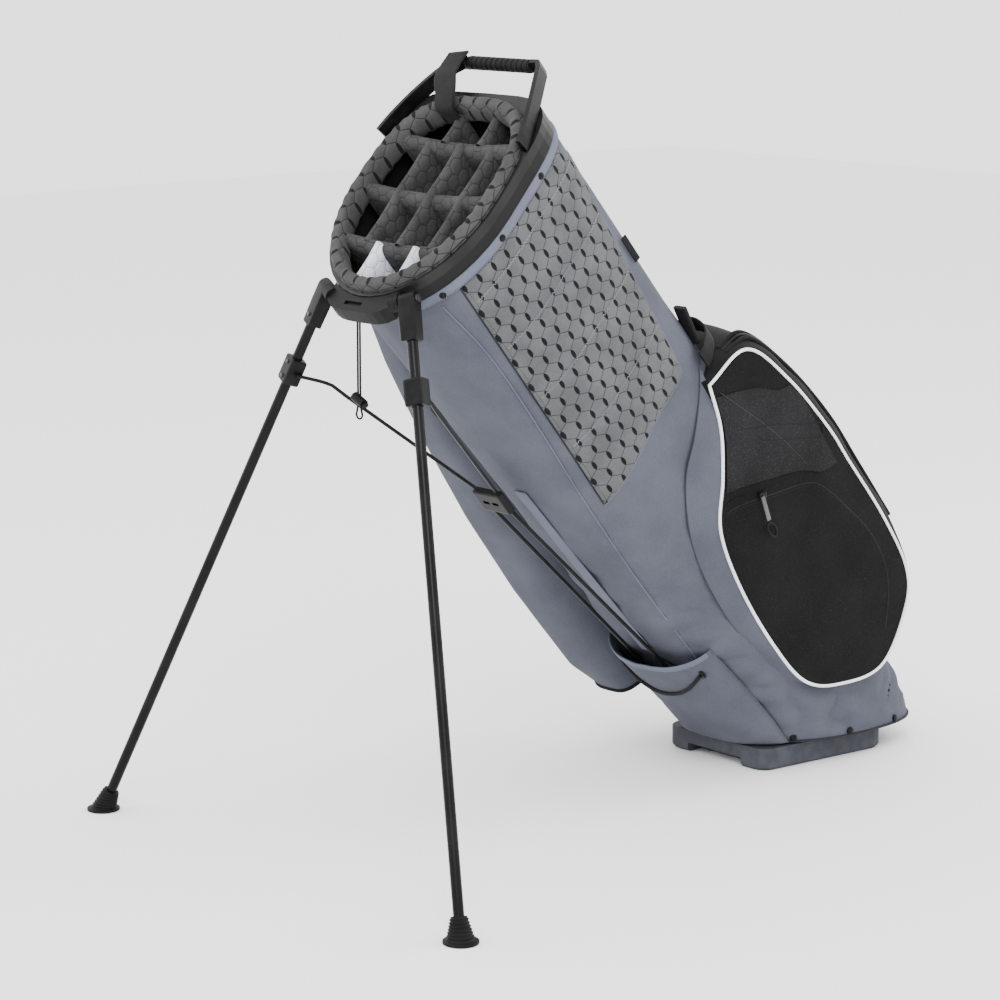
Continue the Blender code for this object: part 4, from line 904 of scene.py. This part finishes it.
def make_ball_pocket():
    rows = []
    for share in np.linspace(0.02, 1.0, 44):
        row = []
        for y, z in PIPING:
            py, pz = PANEL_MIDDLE + (np.array((y, z)) - PANEL_MIDDLE) * share
            row.append((panel_x(py, pz), py, pz))
        rows.append(world(row))
    grid("pocket_side", rows, HEATHER, "bag", wrap=True, caps=True, smooth=180)
    flap = spline(((0.150, 0.378), (0.212, 0.340), (0.256, 0.308), (0.284, 0.276), (0.312, 0.262)), 60)
    rows = []
    for share in np.linspace(0.0, 1.0, 26):
        row = []
        for y, z in flap:
            way = np.array((y + 0.012, z + 0.150)) - np.array((y, z))
            py, pz = np.array((y, z)) + way * share * 0.9
            angle = math.atan2(pz - PANEL_MIDDLE[1], py - PANEL_MIDDLE[0])
            limit = 0.965 * float(np.interp(angle, PIPING_ANGLES, PIPING_REACH, period=math.tau))
            off = np.array((py, pz)) - PANEL_MIDDLE
            size = np.linalg.norm(off)
            if size > limit:
                py, pz = PANEL_MIDDLE + off * limit / size
            row.append((panel_x(py, pz) + 0.0011, py, pz))
        rows.append(world(row))
    grid("pocket_upper_panel", rows, HEATHER_WORN, "bag", smooth=180)
    edge = world([(PANEL_EDGE, y, z) for y, z in PIPING])
    tube("pocket_piping", edge, 0.0021, PIPING_WHITE, "bag", closed=True, sides=3)

    # shell from the piping back round the spine to the far side
    rows = []
    left = -0.098
    for share in np.linspace(0.0, 1.0, 46):
        x = PANEL_EDGE + (left - PANEL_EDGE) * share
        bulge = 0.040 * max(0.0, 1.0 - (2 * share - 1) ** 2) ** 0.55
        shrink = 1.0 if share < 0.94 else 1.0 - 0.4 * ((share - 0.94) / 0.06) ** 2
        row = []
        for y, z in PIPING:
            py, pz = PANEL_MIDDLE + (np.array((y, z)) - PANEL_MIDDLE) * shrink
            reach = min(max((py - 0.20) / 0.13, 0.0), 1.1)
            wrinkle = 0.003 * fold(x, py, pz, 0.05, 9.0) * min(3.0 * (1.0 - share), 1.0)
            row.append((x, py + (bulge + wrinkle) * reach, pz))
        rows.append(world(row))
    grid("pocket_shell", rows, BLACK_CLOTH, "bag", wrap=True, caps=True, smooth=180)
    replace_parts(bpy.data.objects["pocket_shell"], "ball_pocket")

    # zip running over the rear edge: two taped ridges and the coil between them
    spine_zip = ((0.262, 0.497), (0.296, 0.484), (0.319, 0.405), (0.331, 0.306), (0.331, 0.220),
                 (0.330, 0.120))
    for label, x, radius, material in (("zip_ridge_outer", 0.104, 0.0032, BLACK_CLOTH),
                                       ("zip_ridge_inner", 0.122, 0.0026, BLACK_CLOTH),
                                       ("zip_coil", 0.113, 0.0020, STEEL)):
        share = (PANEL_EDGE - x) / (PANEL_EDGE - left)
        bulge = 0.040 * max(0.0, 1.0 - (2 * share - 1) ** 2) ** 0.55
        path = []
        for y, z in spline(spine_zip, 90):
            reach = min(max((y - 0.20) / 0.13, 0.0), 1.1)
            path.append((x, y + bulge * reach + 0.0010, z))
        tube("pocket_" + label, world(path), radius, material, "bag", sides=3)

    # slate gusset between the piping and the body
    front = [PIPING[k % 240] for k in range(6, 128)]
    seam = spline(((0.231, 0.512), (0.170, 0.462), (0.120, 0.425), (0.083, 0.350), (0.071, 0.245),
                   (0.078, 0.150),
                   (0.094, 0.080), (0.150, 0.010), (0.215, -0.030)), len(front))
    rows = []
    for share in np.linspace(0.0, 1.0, 12):
        row = []
        for (y, z), (sy, sz) in zip(front, seam):
            base = np.array(body_at_y(sy, sz, 0.0012))
            edge_point = np.array((PANEL_EDGE - 0.0010, y, z))
            point = edge_point + (base - edge_point) * share
            point[0] += 0.0040 * math.sin(math.pi * share) + 0.0016 * fold(point[1], point[2], 0.0, 0.03,
                                    6.0) * math.sin(math.pi * share)
            floor = body_at_y(point[1], point[2], 0.0010)[0] if point[1] < 0.27 else 0.0
            point[0] = max(point[0], floor)
            row.append(point)
        rows.append(world(row))
    grid("pocket_gusset", rows, SLATE, "bag", smooth=180)
    tube("gusset_seam", rows[-1], 0.0007, SEAM_SLATE, "bag", sides=2)

    # panel seams, slit pocket and the curved front zip
    for label, route, out, radius, material in (
            ("panel_seam_upper", ((0.222, 0.482), (0.236, 0.440), (0.250, 0.396), (0.262, 0.352),
                                  (0.272, 0.300)), 0.0006, 0.0007, DARK_THREAD),
            ("slit_edge", ((0.214, 0.424), (0.262, 0.384), (0.300, 0.345), (0.324, 0.322)),
             0.0004, 0.0012, INSIDE),
            ("slit_flap_edge", ((0.238, 0.405), (0.234, 0.392), (0.240, 0.379), (0.276, 0.344),
                                (0.312, 0.309), (0.324, 0.318)), 0.0004, 0.0011, INSIDE)):
        tube(label, panel_line(route, out=out), radius, material, "bag", sides=2)
    zip_route = ((0.136, 0.356), (0.160, 0.346), (0.205, 0.318), (0.250, 0.288), (0.272, 0.262),
                 (0.288, 0.205),
                 (0.298, 0.149), (0.294, 0.100), (0.276, 0.059), (0.240, 0.022))
    upper = ((0.158, 0.376), (0.175, 0.365), (0.212, 0.340), (0.256, 0.308), (0.284, 0.276))
    tube("zip_fold_upper", panel_line(upper), 0.0015, HEATHER_WORN, "bag", sides=3)
    tube("zip_fold_lower", panel_line(zip_route, 120, out=-0.0008), 0.0015, HEATHER_WORN, "bag", sides=3)
    # Dark inside-cloth tube just below the zip fold: a painted shadow under the fold.
    shadow = [(y - 0.0018, z - 0.0026) for y, z in zip_route]
    tube("zip_painted_shadow", panel_line(shadow, 120, out=-0.0006), 0.0010, INSIDE, "bag", sides=2)
    middle = [(y, z) for y, z in spline(((0.146, 0.365), (0.165, 0.357), (0.208, 0.329), (0.248, 0.300)),
                            60)]
    line = panel_line(middle, 60, out=0.0002)
    dashes("front_zip_teeth", line, (1.0, 0.0, 0.0), 0.0011, 0.0009, 0.0028, STEEL, "bag")
    stitch = panel_line([(y + 0.003, z + 0.006) for y, z in upper], 80, out=0.0)
    dashes("zip_stitches", stitch, (1.0, 0.0, 0.0), 0.0022, 0.0014, 0.0006, DARK_THREAD, "bag")


# ---------------------------------------------------------------- garment pocket
GARMENT = np.array((
    (0.090, -0.1370, 0.1220, 0.0460, 0.1140),
    (0.150, -0.1410, 0.1170, 0.0520, 0.1240),
    (0.300, -0.1410, 0.1150, 0.0530, 0.1250),
    (0.440, -0.1370, 0.1160, 0.0500, 0.1220),
    (0.580, -0.1290, 0.1200, 0.0430, 0.1160),
    (0.700, -0.1180, 0.1240, 0.0340, 0.1080),
    (0.790, -0.1080, 0.1300, 0.0240, 0.1000),
))


def garment_point(turn, z, out=0.0):
    """A point of the long side pocket, kept outside the body skin."""
    cx, cy, rx, ry = (float(np.interp(z, GARMENT[:, 0], GARMENT[:, k])) for k in range(1, 5))
    c, s = math.cos(turn), math.sin(turn)
    x = cx + (rx + out) * math.copysign(abs(c) ** 0.556, c)
    y = cy + (ry + out) * math.copysign(abs(s) ** 0.556, s)
    crease = 0.0022 * fold(x, y, 0.5 * z, 0.05, 12.0) + 0.0020 * abs(fold(x, y + z, z, 0.09, 4.4))
    x -= crease * max(-c, 0.0)
    return (min(x, -body_at_y(y, z, 0.0012 + out)[0]), y, z)


def make_garment_pocket():
    rows = []
    for z, shrink in [(0.090, 0.90), (0.092, 0.97)] + [(z, 1.0) for z in np.linspace(0.096, 0.784,
                            110)] + [(0.788, 0.97), (0.790, 0.88)]:
        row = []
        cx, cy = np.interp(z, GARMENT[:, 0], GARMENT[:, 1]), np.interp(z, GARMENT[:, 0], GARMENT[:, 2])
        for k in range(96):
            x, y, _ = garment_point(math.tau * k / 96, z)
            row.append((cx + (x - cx) * shrink, cy + (y - cy) * shrink, z))
        rows.append(world(row))
    skin = grid("garment_fabric", rows, SLATE, "bag", wrap=True, caps=True, smooth=180)
    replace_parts(skin, "garment_pocket")
    for label, turn, material, radius in (("front", 3.93, SLATE_TRIM, 0.0018),
                            ("rear", 2.36, SLATE_TRIM, 0.0018),
                                          ("zip_outer", 3.62, BLACK_CLOTH, 0.0026),
                                          ("zip_inner", 3.52, BLACK_CLOTH, 0.0026)):
        path = [garment_point(turn, z, 0.0008) for z in np.linspace(0.115, 0.770, 120)]
        tube("garment_" + label, world(path), radius, material, "bag", sides=3)
    path = [garment_point(3.57, z, 0.0012) for z in np.linspace(0.125, 0.760, 160)]
    dashes("garment_zip_teeth", world(path), np.array((-1.0, -0.2, 0.0)) @ BAG_TURN.T, 0.0016, 0.0014,
           0.0030,
           STEEL, "bag")
    hem = [garment_point(math.tau * k / 96, 0.096, 0.0010) for k in range(96)]
    tube("garment_hem", world(hem), 0.0024, BLACK_CLOTH, "bag", closed=True, sides=3)


# ---------------------------------------------------------------- rod sleeve and its cord
def sleeve_point(x, z, out=0.0):
    across = (2 * x - SLEEVE_LEFT - SLEEVE_RIGHT) / (SLEEVE_RIGHT - SLEEVE_LEFT)
    bow = SLEEVE_DEPTH * max(1.0 - abs(across) ** 3, 0.0) ** (1.0 / 3.0)
    crease = 0.0022 * abs(fold(x, 0.0, z - 0.6 * x, 0.035, 2.6)) * (1.0 - across ** 4)
    return (x, body_front_y(x, z) - SLEEVE_AIR - bow - SLEEVE_WALL - crease - out, z)


def make_sleeve():
    rows = []
    for share in np.linspace(0.0, 1.0, 60):
        row = []
        for x in np.linspace(SLEEVE_LEFT, SLEEVE_RIGHT, 90):
            low = 0.04
            for _ in range(6):
                low = hem_up(sleeve_point(x, low)[1])
            row.append(sleeve_point(x, low + (SLEEVE_TOP - low) * share))
        rows.append(world(row))
    skin = thicken(grid("sleeve_fabric", rows, SLATE, "bag", smooth=180), 0.0020)
    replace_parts(skin, "rod_sleeve")
    columns = np.linspace(SLEEVE_LEFT + 0.001, SLEEVE_RIGHT - 0.001, 90)
    mouth = world([sleeve_point(x, SLEEVE_TOP - 0.0030, 0.0012) for x in columns])
    strap("sleeve_mouth_tape", mouth, world([(0, 0, 1)])[0] - world([(0, 0, 0)])[0], 0.0080, 0.0018,
          SLATE_TRIM, "bag")
    shock = []
    for share in np.linspace(-1.0, 1.0, 48):
        x = share * SHOCK_HALF
        shock.append(sleeve_point(x, SHOCK_UP - SHOCK_SAG * (1.0 - share ** 2), 0.0030))
    band = tube("shock_elastic", world(shock), SHOCK_RADIUS, ELASTIC, "bag", sides=4)
    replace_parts(band, "shock_cord")
    for label, x in (("left", -SHOCK_HALF), ("right", SHOCK_HALF)):
        turned("eyelet_" + label, [(-0.001, 0.0070), (0.0010, 0.0072), (0.0020, 0.0060),
                                (0.0022, 0.0040)],
               world([sleeve_point(x, SHOCK_UP, 0.0004)])[0], TILT.to_3x3() @ Vector((0, -1,
                                       0)), STEEL, "bag")
    # Lighter trim strap down the front between the rods: a painted highlight standing in for a fabric crease
    # that catches light.
    strip = world([(0.0, body_front_y(0.0, z) - 0.0016, z) for z in np.linspace(0.205, 0.520, 60)])
    strap("painted_crease_highlight", strip, (1.0, 0.0, 0.0), 0.0210, 0.0016, SLATE_TRIM, "bag")


# ---------------------------------------------------------------- legs and head
def paint(node, material):
    mesh = frame["nodes"][node].data
    mesh.materials.clear()
    mesh.materials.append(material)


def leg_frame(label):
    joint = next(j for j in frame["joints"] if j["name"] == "leg_%s_fold" % label)
    pivot = np.array(joint["pos_m"])
    item = frame["nodes"]["leg_tube_" + label]
    points = np.array([item.matrix_world @ vertex.co for vertex in item.data.vertices])
    far = np.argsort(np.linalg.norm(points - pivot, axis=1))
    foot = points[far[-len(far) // 3:]].mean(axis=0)
    near = points[far[:len(far) // 3]].mean(axis=0)
    way = (foot - near) / np.linalg.norm(foot - near)
    hinge = np.array(joint["axis"], float)
    hinge -= way * (hinge @ way)
    hinge /= np.linalg.norm(hinge)
    hinge *= 1.0 if (hinge[0] > 0) == (label == "right") else -1.0
    return pivot, way, hinge, np.cross(hinge, way)


def make_legs():
    for label in ("left", "right"):
        body = "leg_" + label
        pivot, way, hinge, deep = leg_frame(label)
        rows = []
        outline = [(HOUSING_ROUND * math.cos(t), HOUSING_ROUND * math.sin(t)) for t in np.linspace(0,
                                math.pi, 17)]
        outline += [(-0.0090, -0.0200), (-0.0082, -0.0480), (0.0082, -0.0480), (0.0090, -0.0200)]
        for across, size in ((-0.0110, 0.80), (-0.0098, 0.96), (-0.0070, 1.0), (0.0070, 1.0),
                             (0.0098, 0.96), (0.0110, 0.80)):
            rows.append([pivot + hinge * across + deep * a * size - way * (b if b > -0.03 else b * (0.5
                                    + size / 2))
                         for a, b in outline])
        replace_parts(grid("housing_" + label, rows, PLASTIC, body, wrap=True, caps=True, smooth=30),
                    "leg_housing_" + label)
        for place, radius in ((0.0, 0.0044), (0.036, 0.0026)):
            rivet("housing_screw_%s_%d" % (label, place * 1000),
                  pivot + way * place + deep * 0.0090 * (place > 0) + hinge * 0.0110 * (place == 0),
                  deep if place else hinge, radius, body, PIN_METAL)
        start, stop = pivot + way * (HOUSING_LENGTH + 0.0003), pivot + way * (LEG_LENGTH - BOOT_HEIGHT
                                + 0.0005)
        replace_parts(tube("tube_" + label, [start, stop], LEG_RADIUS, TUBE, body, sides=8),
                    "leg_tube_" + label)
        centre = pivot + way * CLAMP_PLACE
        paint("leg_clamp_" + label, PLASTIC)
        for number, step in enumerate((-0.009, 0.009), 1):
            rivet("clamp_screw_%s_%d" % (label, number), centre + way * step + deep * 0.0100, deep,
                  0.0026, body, PIN_METAL)
        paint("pivot_pin_" + label, PIN_METAL)

        foot = pivot + way * LEG_LENGTH
        foot = foot - np.array((0, 0, foot[2]))
        side = np.array((1.0, 0, 0)) - way * way[0]
        side /= np.linalg.norm(side)
        other = np.cross(way, side)
        other *= 1.0 if other[1] > 0 else -1.0
        neck = pivot + way * (LEG_LENGTH - BOOT_HEIGHT)
        rings = []
        for k_ring, (share, radius) in enumerate([(-1.0, 0.0185), (-0.9, 0.0200), (-0.1, 0.0200),
                                (0.0, 0.0188)]
                                                 + [(s, None) for s in np.linspace(0.02, 1.0, 60)]):
            ring = []
            for k in range(48):
                c, s = math.cos(math.tau * k / 48), math.sin(math.tau * k / 48)
                low = foot + radius * np.array((c, s, 0)) + np.array((0, 0,
                                        0.003 + 0.003 * share)) if radius else None
                if radius is None:
                    base = foot + 0.0156 * np.array((c, s, 0)) + np.array((0, 0, 0.003))
                    top = neck + BOOT_NECK * (side * c + other * s)
                    rib = 0.0007 * math.sin(share * 44.0) * min(share / 0.1, 1.0)
                    low = base + (top - base) * share + (side * c + other * s) * rib
                ring.append(low)
            rings.append(ring)
        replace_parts(grid("boot_rubber_" + label, rings, RUBBER, body, wrap=True, caps=True, smooth=40),
                    "boot_" + label)


def make_front_pull():
    points = bag_verts("front_zip_pull")
    ends = points[np.argsort(points[:, 2])]
    top, low = ends[-40:].mean(axis=0), ends[:40].mean(axis=0)
    route = [top + (low - top) * share for share in np.linspace(0.0, 0.55, 12)]
    band = strap("front_pull_strap", world(route), (1.0, 0.0, 0.0) @ BAG_TURN.T, 0.0018, 0.0060,
                 GREY_ELASTIC, "front_pull")
    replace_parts(band, "front_zip_pull")
    centre = top + (low - top) * 0.78
    ring = [centre + np.array((0.0, 0.0060 * math.cos(t), 0.0105 * math.sin(t))) for t in np.linspace(0,
                            math.tau, 40)[:-1]]
    tube("front_pull_ring", world(ring), 0.0017, RUBBER, "front_pull", closed=True, sides=4)


def make_trims():
    """Small black sewn and moulded trims: a blank side tab, a loop and a disc."""
    up = world([(0, 0, 1)])[0] - world([(0, 0, 0)])[0]
    tab = [(body_at_y(0.2377, z, 0.0010)[0] + 0.0035, 0.2405, z) for z in np.linspace(0.685, 0.722, 10)]
    strap("side_tab", world(tab), (0, 1.0, 0) @ BAG_TURN.T, 0.0090, 0.0024, BLACK_CLOTH, "bag")
    spine = [(0.100, 0.2640 - 0.010 * share, 0.580 - 0.050 * share) for share in np.linspace(0, 1, 12)]
    strap("spine_stub", world(spine), (1.0, 0, 0), 0.0200, 0.0060, WEBBING, "bag")
    turned("side_disc", [(-0.002, 0.0150), (0.0020, 0.0160), (0.0040, 0.0140), (0.0044, 0.0080)],
           world([(-0.0860, body_front_y(-0.0860, 0.6230) - 0.0020, 0.6230)])[0],
           TILT.to_3x3() @ Vector((0, -1, 0)), BLACK_CLOTH, "bag")


def make_hem_rivets():
    """Rivets along the lower hem over the base."""
    for number, degrees in enumerate((-135, -90, -45, -10, 15, 165, 205), 1):
        turn = math.radians(degrees)
        z = 0.0
        for _ in range(20):
            z = 0.5 * (z + hem_up(body_xy(turn, z)[1]) + 0.0085)
        out = np.array((math.cos(turn), math.sin(turn), 0.0))
        x, y = body_xy(turn, z, 0.0012)
        rivet("hem_rivet_%d" % number, world([(x, y, z)])[0], out @ BAG_TURN.T, 0.0048, "bag")
    count = 160
    hem = []
    for k in range(count):
        turn = math.tau * k / count
        z = hem_up(body_xy(turn, 0.0)[1])
        for _ in range(8):
            z = hem_up(body_xy(turn, z)[1])
        tuck = 0.0055 * max(0.0, min((0.050 - abs(body_xy(turn, z)[0])) / 0.012,
                                1.0)) * (math.sin(turn) < 0)
        hem.append((*body_xy(turn, z + 0.0015, 0.0010 - tuck), z + 0.0015))
    tube("lower_hem", world(hem), 0.0016, DARK_THREAD, "bag", closed=True, sides=3)


def make_hardware():
    for node, material in (("stand_head", CHARCOAL), ("collar", COLLAR_BAND), ("yoke_block", PLASTIC),
                           ("push_rod_left", STEEL), ("push_rod_right", STEEL), ("link_rod_left", STEEL),
                           ("link_rod_right", STEEL), ("base_moulding", BASE_GREY), ("base_hinge_pin",
                                                   STEEL),
                           ("handle_arm_left", PLASTIC), ("handle_arm_right", PLASTIC),
                           ("front_zip_slider", STEEL), ("top_zip_slider", STEEL),
                           ("top_zip_pull", GREY_ELASTIC), ("cord_lock_barrel", PLASTIC),
                           ("cord_lock_button", PLASTIC)):
        paint(node, material)


# ---------------------------------------------------------------- handles
def make_handles():
    profile = [(-0.0560, 0.0052), (-0.0548, 0.0076)]
    for share in np.linspace(-1.0, 1.0, 170):
        profile.append((share * 0.0530, 0.0082 - 0.0009 * (math.cos(share * math.pi * 12) > 0.72)))
    profile += [(0.0548, 0.0076), (0.0560, 0.0052)]
    grip = turned("grip_rubber", profile, world([(0, GRIP_BACK, GRIP_UP)])[0], (1, 0, 0), RUBBER, "bag",
                  36, 30)
    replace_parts(grip, "handle_grip")
    rim_back = rim_outline(RIM_WIDTH)[2]
    top = GRIP_UP + 0.0115
    route = spline([(-0.0700, 0.3040, top), (-0.0660, 0.2820, top), (-0.0590, 0.2640, top),
                    (-0.0460, rim_back + 0.010, top - 0.005), (-0.0400, rim_back - 0.008, top - 0.016),
                    (-0.0340, rim_back - 0.008, top - 0.034)], 60)
    band = strap("webbing_wrap", world(route), (1.0, 0, 0), 0.0320, 0.0030, WEBBING, "bag")
    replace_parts(band, "handle_webbing")
    route = spline([(0.050, 0.2895, 0.495), (0.058, 0.2985, 0.495), (0.075, 0.3000, 0.495),
                    (0.100, 0.288, 0.495), (0.118, 0.262, 0.495), (0.124, 0.244, 0.495)], 60)
    low, high = bag_verts("lift_handle").min(axis=0), bag_verts("lift_handle").max(axis=0)
    path = np.array(route)
    for axis in (0, 1):
        span = path[:, axis].max() - path[:, axis].min()
        path[:, axis] = low[axis] + 0.0014 + (path[:, axis] - path[:,
                                axis].min()) * (high[axis] - low[axis] - 0.0028) / span
    path[:, 2] = (low[2] + high[2]) / 2
    up = world([(0, 0, 1)])[0] - world([(0, 0, 0)])[0]
    arch = strap("lift_webbing", world(path), up, high[2] - low[2], 0.0028, WEBBING, "bag")
    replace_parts(arch, "lift_handle")


# ---------------------------------------------------------------- retention cord
def make_cord():
    item = frame["nodes"]["retention_cord"]
    points = np.array([item.matrix_world @ vertex.co for vertex in item.data.vertices])
    low, high = points.min(axis=0), points.max(axis=0)
    middle = (low + high) / 2
    near, bend = CORD_HALF_SPACE, LOOP_RADIUS
    ground = low[2] + CORD_RADIUS + bend
    path = [np.array((middle[0] - near, middle[1], z)) for z in np.linspace(high[2] - 0.0005,
                            ground + 0.010, 26)]
    for t in np.linspace(math.pi, math.tau, 17):
        path.append(np.array((middle[0] + bend * math.cos(t), middle[1], ground + bend * math.sin(t))))
    path += [np.array((middle[0] + near, middle[1], z)) for z in np.linspace(ground + 0.010,
                            high[2] - 0.0005, 26)]
    line = tube("retention_elastic", path, CORD_RADIUS, ELASTIC, "bag", sides=4)
    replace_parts(line, "retention_cord")


# ---------------------------------------------------------------- assembly
make_body()
make_hem_strip()
make_hex_panel()
body_seam("front_seam", ((0.008, 0.835), (0.018, 0.722), (0.017, 0.479), (0.021, 0.309), (0.035, 0.060)),
          SLATE_TRIM)
make_rim()
make_dividers()
make_ball_pocket()
make_garment_pocket()
make_sleeve()
make_legs()
make_hardware()
make_front_pull()
make_trims()
make_hem_rivets()
make_handles()
make_cord()

# ---------------------------------------------------------------- room, lights and camera
low, high = cad_box
bpy.ops.mesh.primitive_plane_add(size=14.0, location=(0, 0, -0.0004))
floor = bpy.context.object
floor.name = "floor"
floor_material, _, floor_shader = new_material("floor_paint", 0.7)
floor_shader.inputs["Base Color"].default_value = (0.92, 0.92, 0.92, 1.0)
floor.data.materials.append(floor_material)

room = bpy.data.worlds.new("studio")
room.use_nodes = True
room.node_tree.nodes["Background"].inputs["Color"].default_value = (1.0, 1.0, 1.0, 1.0)
room.node_tree.nodes["Background"].inputs["Strength"].default_value = 2.3
bpy.context.scene.world = room


def lamp(name, place, aim, power, size):
    light = bpy.data.lights.new(name, "AREA")
    light.energy = power
    light.size = size
    item = bpy.data.objects.new(name, light)
    item.location = place
    item.rotation_euler = (Vector(aim) - Vector(place)).to_track_quat("-Z", "Y").to_euler()
    bpy.context.scene.collection.objects.link(item)


lamp("key", (2.4, -2.2, 3.2), (0, 0, 0.5), 110, 1.8)
lamp("fill", (-2.6, -2.0, 1.8), (0, 0, 0.4), 30, 2.4)
lamp("rear", (1.0, 3.0, 2.6), (0, 0, 0.5), 60, 1.6)

camera_data = bpy.data.cameras.new("camera")
camera_data.lens = 115.5
camera_data.sensor_width = 36.0
camera = bpy.data.objects.new("camera", camera_data)
azimuth, elevation = math.radians(48.39), math.radians(10.9654)
back = Vector((math.sin(azimuth) * math.cos(elevation), -math.cos(azimuth) * math.cos(elevation),
               math.sin(elevation)))
right = Vector((math.cos(azimuth), math.sin(azimuth), 0.0))
up = back.cross(right)
camera.matrix_world = Matrix.Translation(ORIGIN + Vector((2.8194, -2.8748, 1.1200))) @ Matrix((right, up,
                        back)).transposed().to_4x4()
bpy.context.scene.collection.objects.link(camera)
bpy.context.scene.camera = camera
